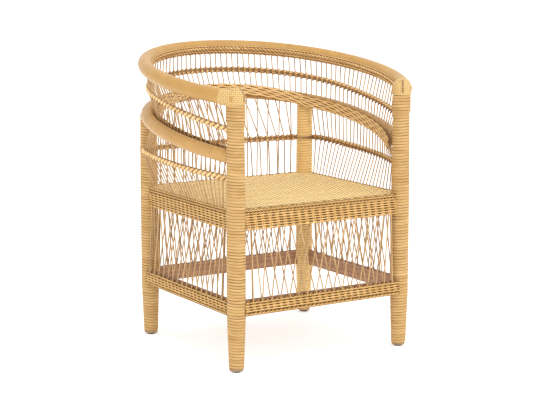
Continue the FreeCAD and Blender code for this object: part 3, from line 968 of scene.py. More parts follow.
class Wall:
    """The open wall of stakes between the hoops, and the directions along it."""

    def __init__(self, plan: ChairSize) -> None:
        """Work out the hoops.

        Args:
            plan: The chair's shared sizes.
        """
        self.plan = plan
        self.lines = {level: HoopLine(size, plan) for level, size in plan.hoops.items()}
        neck = plan.neck_radius + plan.stake_room
        self.rooms = {Level.RIM: plan.rim_room, Level.UPPER: neck, Level.ARM: neck,
                      Level.LOWER: plan.post_radius + plan.stake_room}

    def corner(self, level: Level) -> float:
        """Find the run beside the rear right post."""
        return self.lines[level].run_beside(self.plan.half_x, self.plan.half_y)

    def bays(self, level: Level) -> Dict[str, Corner]:
        """Tell where the stakes of each bay start and end.

        Args:
            level: The hoop.

        Returns:
            The first and last run of the right, rear and left bays.
        """
        line = self.lines[level]
        room = self.rooms[level]
        corner = self.corner(level)
        far = line.length - corner
        return {"right": (room, corner - room), "rear": (corner + room, far - room),
                "left": (far + room, line.length - room)}

    def run_of(self, level: Level, share: float) -> float:
        """Find a run from a share of the stretch that holds stakes."""
        room = self.rooms[level]
        return room + share * (self.lines[level].length - 2 * room)

    def share_of(self, level: Level, run: float) -> float:
        """Find the share of the stretch with stakes that a run is at."""
        room = self.rooms[level]
        return min(max((run - room) / (self.lines[level].length - 2 * room), 0.0), 1.0)

    def bay_share(self, level: Level, run: float) -> Tuple[str, float]:
        """Find the bay that a run is in.

        Args:
            level: The hoop.
            run: The run.

        Returns:
            The bay and the share of it.
        """
        line = self.lines[level]
        corner = self.corner(level)
        bay = "right" if run < corner else "rear"
        if run > line.length - corner:
            bay = "left"
        first, last = self.bays(level)[bay]
        return bay, min(max((run - first) / (last - first), 0.0), 1.0)

    def bay_run(self, level: Level, bay: str, share: float) -> float:
        """Find a run from a share of a bay."""
        first, last = self.bays(level)[bay]
        return first + share * (last - first)

    def seat_point(self, bay: str, share: float, layer: float) -> Vector:
        """Find where a stake stands on the apron.

        Args:
            bay: The bay.
            share: The share of it.
            layer: How far outside the apron's middle the stake is.

        Returns:
            The point.
        """
        plan = self.plan
        room = plan.post_radius + plan.stake_room
        outset = plan.apron_outset - plan.apron_thickness / 2 + layer
        along = (plan.half_y - room) * (2 * share - 1)
        if bay == "rear":
            x = (plan.half_x - room) * (1 - 2 * share)
            return Vector((x, plan.half_y + outset + plan.shift_y, plan.seat_z))
        side = 1 if bay == "right" else -1
        return Vector((side * (plan.half_x + outset), side * along + plan.shift_y,
                       plan.seat_z))

    def axes(self, level: Level, run: float) -> Tuple[Vector, Vector]:
        """Find the directions out of and up the wall.

        Args:
            level: The hoop.
            run: The run.

        Returns:
            The outward and the upward direction.
        """
        plan = self.plan
        lines = self.lines
        if level is Level.LOWER:
            bay, share = self.bay_share(level, run)
            below = self.seat_point(bay, share, 0.0)
            above = lines[Level.ARM].at(self.bay_run(Level.ARM, bay, share), -plan.arm_inset)
        elif level is Level.ARM:
            bay, share = self.bay_share(level, run)
            below = lines[Level.LOWER].at(self.bay_run(Level.LOWER, bay, share))
            above = lines[Level.UPPER].at(
                self.run_of(Level.UPPER, self.share_of(level, run)))
        else:
            share = self.share_of(level, run)
            below = lines[Level.ARM].at(self.run_of(Level.ARM, share), -plan.arm_inset)
            above = lines[Level.RIM].at(self.run_of(Level.RIM, share),
                                        -plan.rim_radius * plan.rim_inset_share,
                                        -plan.rim_radius)
        up = (above - below).normalized()
        out = lines[level].outward(run)
        return (out - up * out.dot(up)).normalized(), up

    def stakes(self) -> List[Tuple[str, List[Vector], List[Optional[float]]]]:
        """Lay out every stake.

        Returns:
            Each stake's bay, its points from the top down, and its run at the rim, the
            upper braid, the arm ring and the lower braid.
        """
        plan = self.plan
        lines = self.lines
        arm_bays = self.bays(Level.ARM)
        inset = plan.rim_radius * plan.rim_inset_share
        drop = math.sqrt(plan.rim_radius ** 2 - (inset - plan.stake_radius) ** 2)
        found = []
        for index in range(plan.stake_count):
            share = index / (plan.stake_count - 1)
            runs = [self.run_of(level, share) for level in (Level.RIM, Level.UPPER, Level.ARM)]
            layer = 0.0
            home = "corner"
            for bay, (first, last) in arm_bays.items():
                if first <= runs[2] <= last:
                    home = bay
                    low = high = (runs[2] - first) / (last - first)
                    pitch = lines[Level.ARM].length / plan.stake_count / (last - first)
            lower_run = None
            if home == "rear":
                sign = 1 if index % 2 == 0 else -1
                layer = sign * plan.layer
                taper = 1 - (2 * low - 1) ** 4
                low, high = (low + sign * plan.crossing * pitch * taper,
                             high + sign * plan.seat_crossing * pitch * taper)
            arm_out = self.axes(Level.ARM, runs[2])[0]
            points = [lines[Level.RIM].at(runs[0], -inset, -drop),
                      lines[Level.UPPER].at(runs[1]),
                      lines[Level.ARM].at(runs[2]) + arm_out * (layer - plan.arm_inset)]
            if home != "corner":
                lower_run = self.bay_run(Level.LOWER, home, low)
                out = self.axes(Level.LOWER, lower_run)[0]
                points.append(lines[Level.LOWER].at(lower_run) + out * layer)
                points.append(self.seat_point(home, high, layer))
            found.append((home, points, runs + [lower_run]))
        return found


# Guide lines


@dataclass
class Guide:
    """A line that strands follow, with the directions and beats along it.

    Attributes:
        points: The line's points, one row each.
        outs: The direction away from what is woven, at each point.
        ups: The direction across the weave, at each point.
        beats: The count of crossings passed, at each point.
    """

    points: np.ndarray
    outs: np.ndarray
    ups: np.ndarray
    beats: np.ndarray

    @classmethod
    def straight(cls, start: Vector, end: Vector, out: Vector, up: Vector, beat_length: float,
                 first_beat: float = 0.0, steps_per_beat: int = 5) -> "Guide":
        """Lay a straight guide.

        Args:
            start: Its first point.
            end: Its last point.
            out: The direction away from what is woven.
            up: The direction across the weave.
            beat_length: The distance between crossings.
            first_beat: The beat at its start.
            steps_per_beat: How many points there are to a crossing.

        Returns:
            The guide.
        """
        length = (end - start).length
        count = max(2, int(math.ceil(length / beat_length * steps_per_beat)) + 1)
        shares = np.linspace(0.0, 1.0, count)
        first, last = np.array(start), np.array(end)
        points = first + (last - first) * shares[:, None]
        beats = first_beat + shares * length / beat_length
        return cls(points, np.tile(np.array(out), (count, 1)),
                   np.tile(np.array(up), (count, 1)), beats)

    @classmethod
    def helix(cls, centre: Corner, radius_at: Callable[[float], float], bottom: float,
              top: float, pitch: float, hand: int = 1, start_angle: float = 0.0,
              steps: int = 28) -> "Guide":
        """Wind a guide round an upright axis.

        Args:
            centre: The axis's X and Y.
            radius_at: Tells the line's radius at a height.
            bottom: The height of its start.
            top: The height of its end.
            pitch: How much one turn rises.
            hand: 1 to wind to the left when seen from above, -1 to the right.
            start_angle: The angle at its start.
            steps: How many points there are to a turn.

        Returns:
            The guide.
        """
        turns = (top - bottom) / pitch
        count = int(turns * steps) + 1
        shares = np.linspace(0.0, turns, count)
        angles = start_angle + 2 * math.pi * shares
        heights = bottom + shares * pitch
        radii = np.array([radius_at(z) for z in heights])
        outs = np.stack([hand * np.cos(angles), np.sin(angles), np.zeros(count)], axis=1)
        points = outs * radii[:, None]
        points[:, 0] += centre[0]
        points[:, 1] += centre[1]
        points[:, 2] = heights
        return cls(points, outs, np.tile([0.0, 0.0, 1.0], (count, 1)), shares)

    @classmethod
    def along(cls, start: float, end: float, step: float,
              place: Callable[[float], Tuple[Vector, Vector, Vector]],
              beat_at: Callable[[float], float]) -> "Guide":
        """Lay a guide beside a bent line.

        Args:
            start: Its first run.
            end: Its last run.
            step: The distance between its points.
            place: Tells the point, the way out and the way up at a run.
            beat_at: Tells the beat at a run.

        Returns:
            The guide.
        """
        runs = np.linspace(start, end, max(2, int(math.ceil(abs(end - start) / step)) + 1))
        rows = [[np.array(one) for one in place(float(run))] for run in runs]
        columns = [np.array(column) for column in zip(*rows)]
        return cls(columns[0], columns[1], columns[2],
                   np.array([beat_at(float(run)) for run in runs]))


def guide_object(name: str, guides: Sequence[Guide], seed: int) -> bpy.types.Object:
    """Make an object whose edges are guides.

    Args:
        name: The object's name.
        guides: The guides.
        seed: The seed of the number that each guide carries.

    Returns:
        The object.
    """
    points = np.concatenate([guide.points for guide in guides])
    edges, numbers, first = [], [], 0
    randoms = np.random.default_rng(seed).random(len(guides))
    for guide, number in zip(guides, randoms):
        count = len(guide.points)
        edges += [(first + step, first + step + 1) for step in range(count - 1)]
        numbers.append(np.full(count, number * 10.0))
        first += count
    mesh = bpy.data.meshes.new(name)
    mesh.from_pydata(points.tolist(), edges, [])
    keep(mesh, "out", "POINT", np.concatenate([guide.outs for guide in guides]))
    keep(mesh, "up", "POINT", np.concatenate([guide.ups for guide in guides]))
    keep(mesh, "beat", "POINT", np.concatenate([guide.beats for guide in guides]))
    keep(mesh, "guide", "POINT", np.concatenate(numbers))
    return placed(name, mesh)


# Node-made shapes


@dataclass(frozen=True)
class Strands:
    """How strands lie along a guide.

    Attributes:
        width: How wide a strand is, across the weave.
        thickness: How thick a strand is.
        count: How many strands twist round the same guide.
        swing_out: How far they swing out of and into the weave.
        swing_up: How far they swing across the weave.
        jitter: How far they stray.
        sides: How many sides a strand has.
    """

    width: float
    thickness: float
    count: int = 1
    swing_out: float = 0.0
    swing_up: float = 0.0
    jitter: float = 0.2 * MM
    sides: int = 8


Lays = Sequence[Tuple[Sequence[Guide], Strands]]


class StrandShape(ShapeTree):
    """Geometry nodes that lay swinging strands along guides."""

    INPUTS = {"Count": "Int", "Width": "Float", "Thickness": "Float", "Swing Out": "Float",
              "Swing Up": "Float"}

    def __init__(self) -> None:
        """Build the tree."""
        super().__init__("Strand Shape", self.INPUTS)
        copies = self.node("GeometryNodeDuplicateElements",
                           {"Geometry": self.lines, "Amount": self.given("Count")},
                           domain="SPLINE")
        curves, index = (Flow(self, copies.outputs[number]) for number in (0, 1))
        curves = self.store(curves, "strand", index)
        share = self.named("strand") / self.given("Count")
        phase = self.named("beat") * math.pi + share * (2 * math.pi)
        curves = self.store(curves, "depth", phase.of("COSINE"))
        curves = self.store(curves, "along",
                            self.flow("GeometryNodeSplineParameter", "Length"))
        lane = self.named("guide") * 3.7 + self.named("strand") * 1.9 + self.given("Seed")
        first, second = self.strays(self.vector(self.named("along") * 22.0, lane, 0.5),
                                    (9.1, 4.3, 2.2))
        moved = self.moved(curves, self.named("depth") * self.given("Swing Out") + first,
                           phase.of("SINE") * self.given("Swing Up") + second)
        lined = self.flow("GeometryNodeSetCurveNormal", 0,
                          {"Curve": moved, "Normal": self.named("out", "FLOAT_VECTOR")},
                          mode="FREE")
        self.close(lined, self.outline("side", 1, self.given("Thickness") * 0.5,
                                       self.given("Width") * 0.5))


class CaneShape(ShapeTree):
    """Geometry nodes that bend round canes along guides with soft corners."""

    INPUTS = {"Radius": "Float", "Bend": "Float", "Step": "Float"}

    def __init__(self) -> None:
        """Build the tree."""
        super().__init__("Cane Shape", self.INPUTS)
        soft = self.flow("GeometryNodeFilletCurve", 0,
                         {"Curve": self.lines, "Radius": self.given("Bend"), "Count": 6,
                          "Limit Radius": True}, mode="POLY")
        steps = self.flow("GeometryNodeResampleCurve", 0,
                          {"Curve": soft, "Length": self.given("Step")}, mode="LENGTH")
        steps = self.store(steps, "along",
                           self.flow("GeometryNodeSplineParameter", "Length"))
        lane = self.named("guide") * 5.3 + self.given("Seed")
        factor = self.flow("GeometryNodeSplineParameter", "Factor")
        ease = (factor * (1.0 - factor)) * 4.0
        first, second = self.strays(self.vector(self.named("along") * 9.0, lane, 0.5),
                                    (7.7, 3.1, 1.2))
        moved = self.moved(steps, first * ease * 0.3, second * ease)
        self.close(moved, self.outline("round", 0, self.given("Radius"),
                                       self.given("Radius")))


# Workshop


class Workshop:
    """Makes objects, dresses them and ties them to the frame."""

    def __init__(self) -> None:
        """Build the materials and the shared node trees."""
        self.looks = {look: look.value.build() for look in Look}
        self.strand_shape = StrandShape()
        self.cane_shape = CaneShape()
        self.count = 0

    def settle(self, obj: bpy.types.Object, slot: str, nodes: Sequence[str]) -> bpy.types.Object:
        """Tie a finished piece to the frame.

        Args:
            obj: The piece.
            slot: A material slot's name, which is not used.
            nodes: The frame's nodes that it stands for.

        Returns:
            The piece.
        """
        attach(obj, "root")
        if nodes:
            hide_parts(*nodes)
        low, high = [Vector(place(corner[axis] for corner in obj.bound_box)
                            for axis in range(3)) for place in (min, max)]
        log.info("%s: %d faces, %s to %s mm", obj.name, len(obj.data.polygons),
                 [round(part * 1000) for part in low], [round(part * 1000) for part in high])
        return obj

    def joined(self, name: str, pieces: Sequence[bpy.types.Object]) -> bpy.types.Object:
        """Join objects into one.

        Args:
            name: The name of the result.
            pieces: The objects.

        Returns:
            The joined object.
        """
        bpy.ops.object.select_all(action="DESELECT")
        for piece in pieces:
            piece.select_set(True)
        bpy.context.view_layer.objects.active = pieces[0]
        if len(pieces) > 1:
            bpy.ops.object.join()
        pieces[0].name = name
        pieces[0].data.name = name
        return pieces[0]

    def baked(self, shape: ShapeTree, name: str, guides: Sequence[Guide], values: dict,
              look: Look) -> bpy.types.Object:
        """Run a tree along guides, with the next seed.

        Args:
            shape: The tree.
            name: The name of the result.
            guides: The guides.
            values: What the tree's own inputs take.
            look: The finish.

        Returns:
            The object.
        """
        self.count += 1
        shared = {"Seed": self.count * 1.37, "Finish": self.looks[look]}
        return shape.bake(guide_object(name, guides, self.count), {**values, **shared})

    def woven(self, name: str, lays: Lays, look: Look) -> bpy.types.Object:
        """Lay strands along guides.

        Args:
            name: The name of the result.
            lays: Guides with the strands that follow them.
            look: The finish.

        Returns:
            One object with all the strands.
        """
        pieces = []
        for guides, strands in lays:
            values = {label.replace("_", " ").title(): value
                      for label, value in asdict(strands).items()}
            pieces.append(self.baked(self.strand_shape, f"{name}_{len(pieces)}", guides,
                                     values, look))
        return self.joined(name, pieces)

    def canes(self, name: str, guides: Sequence[Guide], radius: float, bend: float,
              jitter: float, look: Look, step: float = 9 * MM,
              sides: int = 10) -> bpy.types.Object:
        """Bend round canes along guides.

        Args:
            name: The name of the result.
            guides: The guides.
            radius: The canes' radius.
            bend: The radius of their soft corners.
            jitter: How far they stray.
            look: The finish.
            step: The distance between their rings of points.
            sides: How many sides they have.

        Returns:
            One object with all the canes.
        """
        values = {"Radius": radius, "Bend": bend, "Step": step, "Jitter": jitter,
                  "Sides": sides}
        return self.baked(self.cane_shape, name, guides, values, look)

    def dress(self, mesh: bpy.types.Mesh, look: Look, smooth: bool = True) -> None:
        """Give a whole mesh one finish.

        Args:
            mesh: The mesh.
            look: The finish.
            smooth: Whether its faces are shaded smooth.
        """
        mesh.materials.clear()
        mesh.materials.append(self.looks[look])
        mesh.polygons.foreach_set("use_smooth", [smooth] * len(mesh.polygons))

    def solid(self, name: str, points: Sequence, faces: Sequence[Sequence[int]],
              look: Look, smooth: bool = True,
              corners: Optional[Dict[str, Sequence[float]]] = None) -> bpy.types.Object:
        """Make a mesh from points and faces.

        Args:
            name: The name of the result.
            points: The points.
            faces: The faces, as places in the list of points.
            look: The finish.
            smooth: Whether the faces are shaded smooth.
            corners: Numbers for every corner of every face, by attribute name.

        Returns:
            The object.
        """
        mesh = bpy.data.meshes.new(name)
        mesh.from_pydata([tuple(point) for point in points], [], faces)
        for label, values in (corners or {}).items():
            keep(mesh, label, "CORNER", values)
        self.dress(mesh, look, smooth)
        mesh.validate()
        return placed(name, mesh)

    def shaped(self, obj: bpy.types.Object, *steps: Tuple[str, dict]) -> bpy.types.Object:
        """Apply modifiers and keep the mesh that comes out.

        Args:
            obj: The object.
            steps: The type and options of each modifier.

        Returns:
            The same object.
        """
        for kind, options in steps:
            modifier = obj.modifiers.new(kind.lower(), kind)
            for label, value in options.items():
                setattr(modifier, label, value)
        return harden(obj)

    def box(self, name: str, low: Vector, high: Vector, bevel: float,
            look: Look) -> bpy.types.Object:
        """Make a board with soft edges.

        Args:
            name: The name of the result.
            low: The corner with the least X, Y and Z.
            high: The opposite corner.
            bevel: How wide its soft edges are.
            look: The finish.

        Returns:
            The object.
        """
        points = [(x, y, z) for x in (low.x, high.x) for y in (low.y, high.y)
                  for z in (low.z, high.z)]
        faces = [(0, 1, 3, 2), (4, 6, 7, 5), (0, 4, 5, 1), (2, 3, 7, 6), (0, 2, 6, 4),
                 (1, 5, 7, 3)]
        obj = self.solid(name, points, faces, look, smooth=False)
        return self.shaped(obj, ("BEVEL", {"width": bevel, "segments": 2}))

    def turned(self, name: str, profile: Sequence[Corner], centre: Corner,
               look: Look, sides: int = 48) -> bpy.types.Object:
        """Turn a profile round an upright axis.

        Args:
            name: The name of the result.
            profile: Radii and heights, from the bottom to the top.
            centre: The axis's X and Y.
            look: The finish.
            sides: How many sides the result has.

        Returns:
            The object.
        """
        points = []
        for radius, z in profile:
            for side in range(sides):
                angle = 2 * math.pi * side / sides
                points.append((centre[0] + radius * math.cos(angle),
                               centre[1] + radius * math.sin(angle), z))
        faces = []
        for row in range(len(profile) - 1):
            for side in range(sides):
                after = (side + 1) % sides
                low, high = row * sides, (row + 1) * sides
                faces.append((low + side, low + after, high + after, high + side))
        faces.append(tuple(reversed(range(sides))))
        faces.append(tuple(range((len(profile) - 1) * sides, len(profile) * sides)))
        return self.solid(name, points, faces, look)


# The chair


@dataclass
class Assembly:
    """A part of the chair that is made in one go."""

    wall: Wall
    shop: Workshop

    @property
    def plan(self) -> ChairSize:
        """The chair's shared sizes."""
        return self.wall.plan

    def build(self) -> None:
        """Make the pieces."""
        raise NotImplementedError

    def ribs(self, guides: Sequence[Guide], radius: float, step: float) -> bpy.types.Object:
        """Make the ribs inside a weave, which are coarse because little of them shows."""
        return self.shop.canes("ribs", guides, radius, 1 * MM, 0.2 * MM, Look.RIB, step, 6)

    def weave(self, name: str, lays: Lays, look: Look, slot: str, *nodes: str) -> None:
        """Lay strands along guides and tie them to the frame."""
        self.shop.settle(self.shop.woven(name, lays, look), slot, nodes)


@dataclass
class Posts(Assembly):
    """The four posts with their windings, lashings and glides."""

    cord: Strands = Strands(9.0 * MM, 2.0 * MM, jitter=0.35 * MM, sides=14)
    pitch: float = 8.5 * MM
    sunk: float = 0.3 * MM
    foot_room: float = 4.7 * MM
    overlap: float = 5 * MM
    turns: Strands = Strands(9.1 * MM, 4.8 * MM, jitter=0.3 * MM, sides=14)
    lashing_pitch: float = 8.7 * MM
    lashing_sunk: float = 2.6 * MM
    lashing_room: float = 1 * MM
    lashing_start: float = 140.0
    glide_taper: float = 1.5 * MM
    glide_edge: float = 1.2 * MM
    glide_sunk: float = 0.5 * MM

    NAMES = ("front_left", "front_right", "rear_left", "rear_right")
    # The post that takes the lighter copy of the post cane, as painted light.
    PALE = "rear_right"

    def build(self) -> None:
        """Make all the posts' pieces."""
        plan = self.plan
        radius = plan.glide_radius
        profile = [(radius - self.glide_taper, 0.0), (radius, self.glide_edge),
                   (radius, plan.glide_z + self.glide_sunk)]
        lashings, glides = [], []
        for name in self.NAMES:
            centre = plan.post(name)
            front = name.startswith("front")
            hand = 1 if name.endswith("right") else -1
            top = plan.lashing_z + self.overlap if front else plan.rear_top_z
            guide = Guide.helix(centre, self._winding_radius, plan.glide_z + self.foot_room,
                                top, self.pitch, hand)
            look = Look.PALE_POST if name == self.PALE else Look.POST
            self.weave("winding_" + name, [([guide], self.cord)], look, "post_wrap",
                       "post_winding_" + name)
            if front:
                lashings.append(Guide.helix(
                    centre, lambda z: plan.lashing_radius - self.lashing_sunk,
                    plan.lashing_z + self.lashing_room,
                    plan.cap_bottom_z - self.lashing_room, self.lashing_pitch, hand,
                    math.radians(self.lashing_start)))
            glides.append(self.shop.turned("glide_" + name, profile, centre, Look.GLIDE))
        self.weave("lashings", [(lashings, self.turns)], Look.LASHING, "post_wrap",
                   "post_lashings")
        self.shop.settle(self.shop.joined("glides", glides), "glide", ["foot_glides"])

    def _winding_radius(self, z: float) -> float:
        """Tell where the middle of the winding's cane runs."""
        return self.plan.post_radius_at(z) - self.cord.thickness / 2 - self.sunk


@dataclass
class WrappedBar:
    """A round bar along a hoop with wide peel wound round it."""

    line: HoopLine
    radius: float
    pitch: float
    shop: Workshop
    lap: float = 0.3 * MM
    sides: int = 40
    step: float = 4.5 * MM

    def build(self, name: str, start: float, end: float, look: Look) -> bpy.types.Object:
        """Make the bar.

        Args:
            name: The name of the result.
            start: The run where it starts.
            end: The run where it ends.
            look: The finish.

        Returns:
            The object.
        """
        count = int((end - start) / self.step)
        runs = [start + (end - start) * row / count for row in range(count + 1)]
        angles = [2 * math.pi * side / self.sides for side in range(self.sides + 1)]
        points = []
        for run in runs:
            centre, out = self.line.at(run), self.line.outward(run)
            for angle in angles[:-1]:
                radius = self.radius - self.lap * self._sunk(self._wrap(run, angle))
                points.append(centre + out * (radius * math.cos(angle))
                              + self.line.lift * (radius * math.sin(angle)))
        faces, wraps, girths = [], [], []
        for row in range(count):
            low, high = row * self.sides, (row + 1) * self.sides
            for side in range(self.sides):
                after = (side + 1) % self.sides
                faces.append((low + side, high + side, high + after, low + after))
                for end_row, end_side in ((row, side), (row + 1, side),
                                          (row + 1, side + 1), (row, side + 1)):
                    wraps.append(self._wrap(runs[end_row], angles[end_side]))
                    girths.append(angles[end_side] * self.radius)
        last = count * self.sides
        faces.append(tuple(range(self.sides)))
        faces.append(tuple(last + side for side in reversed(range(self.sides))))
        wraps += [0.5] * (2 * self.sides)
        girths += [0.0] * (2 * self.sides)
        return self.shop.solid(name, points, faces, look,
                               corners={"wrap": wraps, "girth": girths})

    def _wrap(self, run: float, angle: float) -> float:
        """Count the turns of peel up to a place on the bar."""
        wander = 0.18 * math.sin(run * 31.0) + 0.12 * math.sin(run * 77.0)
        return run / self.pitch + angle / (2 * math.pi) + wander

    @staticmethod
    def _sunk(wrap: float) -> float:
        """Tell how far a place lies under the crest of its turn."""
        return min(1.0, 4.0 * (wrap % 1.0 - 0.5) ** 2)


@dataclass
class Rim(Assembly):
    """The top rim with its stitches, the braid under its inner edge and its caps."""

    peel_pitch: float = 30 * MM
    overrun: float = 8 * MM
    room: float = 30 * MM
    step: float = 1.6 * MM
    rope: Strands = Strands(5.4 * MM, 3.4 * MM, 2, swing_out=1.5 * MM, swing_up=1.9 * MM)
    rope_height: float = 1.6 * MM
    rope_angles: Tuple[float, ...] = (-2.0, -30.0, -52.0)
    rope_beat: float = 13 * MM
    stitch: Strands = Strands(3.0 * MM, 1.8 * MM, 2, swing_out=0.9 * MM, swing_up=0.9 * MM)
    stitch_height: float = 0.6 * MM
    stitch_angles: Tuple[float, ...] = (15.0, -15.0)
    stitch_beat: float = 7 * MM

    def build(self) -> None:
        """Make the rim's pieces."""
        line = self.wall.lines[Level.RIM]
        bar = WrappedBar(line, self.plan.rim_radius, self.peel_pitch, self.shop)
        rim = bar.build("rim_wrap", -self.overrun, line.length + self.overrun, Look.RIM_PEEL)
        self.shop.settle(rim, "hoop_wrap", ["top_rim"])
        rows = [self._guide(degrees, self.rope_height, self.rope_beat)
                for degrees in self.rope_angles]
        stitches = [self._guide(degrees, self.stitch_height, self.stitch_beat)
                    for degrees in self.stitch_angles]
        self.weave("rim_rope", [(rows, self.rope), (stitches, self.stitch)], Look.RIM_BRAID,
                   "cane_strand", "rim_braid")
        for side in ("left", "right"):
            Cap(self.wall, self.shop, side).build()

    def _guide(self, degrees: float, height: float, beat: float) -> Guide:
        """Lay a guide along the rim's inner face.

        Args:
            degrees: The angle round the rim, above level on the inner side.
            height: How far above the rim's surface the guide runs.
            beat: The distance between crossings.

        Returns:
            The guide.
        """
        line = self.wall.lines[Level.RIM]
        angle = math.radians(degrees)

        def place(run: float) -> Tuple[Vector, Vector, Vector]:
            """Find the guide's point and directions at a run.

            Args:
                run: The run.

            Returns:
                The point, the way out and the way up.
            """
            inward = -line.outward(run)
            out = inward * math.cos(angle) + line.lift * math.sin(angle)
            up = line.lift * math.cos(angle) - inward * math.sin(angle)
            return line.at(run) + out * (self.plan.rim_radius + height), out, up

        return Guide.along(self.room, line.length - self.room, self.step, place,
                           lambda run: run / beat)


@dataclass
class Cap(Assembly):
    """The woven cap over one end of the rim, with its sewn seam."""

    side: str = "left"
    lip: float = 0.6 * MM
    lip_height: float = 2 * MM
    dome_steps: int = 13
    dome_step: float = 7.3
    dome_hole: float = 1 * MM
    reach: float = 36 * MM
    cover: float = 1.9 * MM
    voxel: float = 1.5 * MM
    pattern_turn: float = -32.0
    thread: Strands = Strands(1.7 * MM, 1.0 * MM, swing_up=3.0 * MM, jitter=0.05 * MM, sides=6)
    thread_beat: float = 3.4 * MM
    thread_step: float = 0.7 * MM
    seam_length: float = 42 * MM
    seam_turn: float = 30.0
    seam_rise: float = 62.0

    @property
    def middle(self) -> Vector:
        """The centre of the dome."""
        plan = self.plan
        return Vector((*plan.post("front_" + self.side), plan.cap_bottom_z + plan.cap_skirt))

    def build(self) -> None:
        """Make the cap and its seam."""
        plan = self.plan
        line = self.wall.lines[Level.RIM]
        radius, bottom = plan.cap_radius, plan.cap_bottom_z
        profile = [(radius - self.lip, bottom), (radius, bottom + self.lip_height)]
        for step in range(self.dome_steps):
            rise = math.radians(self.dome_step * step)
            profile.append((max(radius * math.cos(rise), self.dome_hole),
                            bottom + plan.cap_skirt + radius * math.sin(rise)))
        dome = self.shop.turned("cap_dome", profile, plan.post("front_" + self.side), Look.CAP)
        start = 0.0 if self.side == "right" else line.length - self.reach
        tube = WrappedBar(line, plan.rim_radius + self.cover, self.reach, self.shop, lap=0.0)
        collar = tube.build("cap_collar", start, start + self.reach, Look.CAP)
        cap = self.shop.joined("cap_" + self.side, [dome, collar])
        self.shop.shaped(cap, ("REMESH", {"mode": "VOXEL", "voxel_size": self.voxel}),
                         ("SMOOTH", {"factor": 0.5, "iterations": 6}))
        self._pattern(cap.data)
        self.shop.dress(cap.data, Look.CAP)
        self.shop.settle(cap, "woven_cane", ["rim_cap_" + self.side])
        seam = Guide.along(0.0, self.seam_length, self.thread_step, self._seam,
                           lambda run: run / self.thread_beat)
        self.weave("cap_seam_" + self.side, [([seam], self.thread)], Look.SEAM, "woven_cane")

    def _seam(self, run: float) -> Tuple[Vector, Vector, Vector]:
        """Find a place on the seam, which runs down the cap's inner front.

        Args:
            run: How far down the seam the place is.

        Returns:
            The point, the way out and the way across the seam.
        """
        hand = 1 if self.side == "right" else -1
        turn = math.radians(self.seam_turn)
        front = Vector((-hand * math.sin(turn), -math.cos(turn), 0.0))
        across = Vector((math.cos(turn), -hand * math.sin(turn), 0.0))
        radius = self.plan.cap_radius
        rise = math.radians(self.seam_rise) - run / radius
        if rise < 0.0:
            return self.middle + front * radius + UP * (radius * rise), front, across
        out = front * math.cos(rise) + UP * math.sin(rise)
        return self.middle + out * radius, out, across

    def _pattern(self, mesh: bpy.types.Mesh) -> None:
        """Store where each corner of the cap lies in its weave.

        Args:
            mesh: The cap's mesh.
        """
        places = np.zeros((2, len(mesh.loops)))
        middle = self.middle
        turn = math.radians(self.pattern_turn)
        wide = Vector((math.cos(turn), math.sin(turn), 0.0))
        deep = Vector((-math.sin(turn), math.cos(turn), 0.0))
        for face in mesh.polygons:
            if abs(face.normal.z) > 0.8:
                axes = (wide, deep)
            elif abs(face.normal.dot(deep)) > 0.6:
                axes = (wide, UP)
            else:
                axes = (deep, UP)
            for loop in face.loop_indices:
                point = mesh.vertices[mesh.loops[loop].vertex_index].co - middle
                places[:, loop] = [point.dot(axis) for axis in axes]
        keep(mesh, "across", "CORNER", places[0])
        keep(mesh, "down", "CORNER", places[1])


@dataclass
class ArmRing(Assembly):
    """The arm ring and the woven band on its inner side."""

    peel_pitch: float = 27 * MM
    ring_room: float = 12 * MM
    band_room: float = 14 * MM
    rope: Strands = Strands(6.4 * MM, 3.0 * MM, 2, swing_out=1.5 * MM, swing_up=1.4 * MM)
    rows: int = 5
    row_pitch: float = 6.9 * MM
    row_shift: float = 0.37
    beats: float = 0.4
    step: float = 4 * MM
    sunk: float = 2.5 * MM

    def build(self) -> None:
        """Make the ring and its band."""
        line = self.wall.lines[Level.ARM]
        bar = WrappedBar(line, self.plan.arm_radius, self.peel_pitch, self.shop)
        ring = bar.build("arm_wrap", self.ring_room, line.length - self.ring_room,
                         Look.ARM_PEEL)
        self.shop.settle(ring, "hoop_wrap", ["arm_ring"])
        runs = sorted(stake[2][2] for stake in self.wall.stakes())
        rows = [self._guide(number, runs) for number in range(self.rows)]
        self.weave("arm_weave", [(rows, self.rope)], Look.ARM_BAND, "woven_cane", "arm_band")

    def _guide(self, number: int, stakes: Sequence[float]) -> Guide:
        """Lay the guide of one row of the band.

        Args:
            number: The row, from the lowest up.
            stakes: The runs of the stakes that it crosses.

        Returns:
            The guide.
        """
        line = self.wall.lines[Level.ARM]
        height = (number - self.rows // 2) * self.row_pitch
        step_in = self.plan.arm_inset + self.plan.strand_offset + self.sunk

        def place(run: float) -> Tuple[Vector, Vector, Vector]:
            """Find the guide's point and directions at a run."""
            out, up = self.wall.axes(Level.ARM, run)
            return line.at(run) - out * step_in + up * height, -out, up

        def beat(run: float) -> float:
            """Count the beats up to a run."""
            passed = float(np.interp(run, stakes, range(len(stakes))))
            return passed * self.beats + self.row_shift * number

        return Guide.along(self.band_room, line.length - self.band_room, self.step, place,
                           beat)


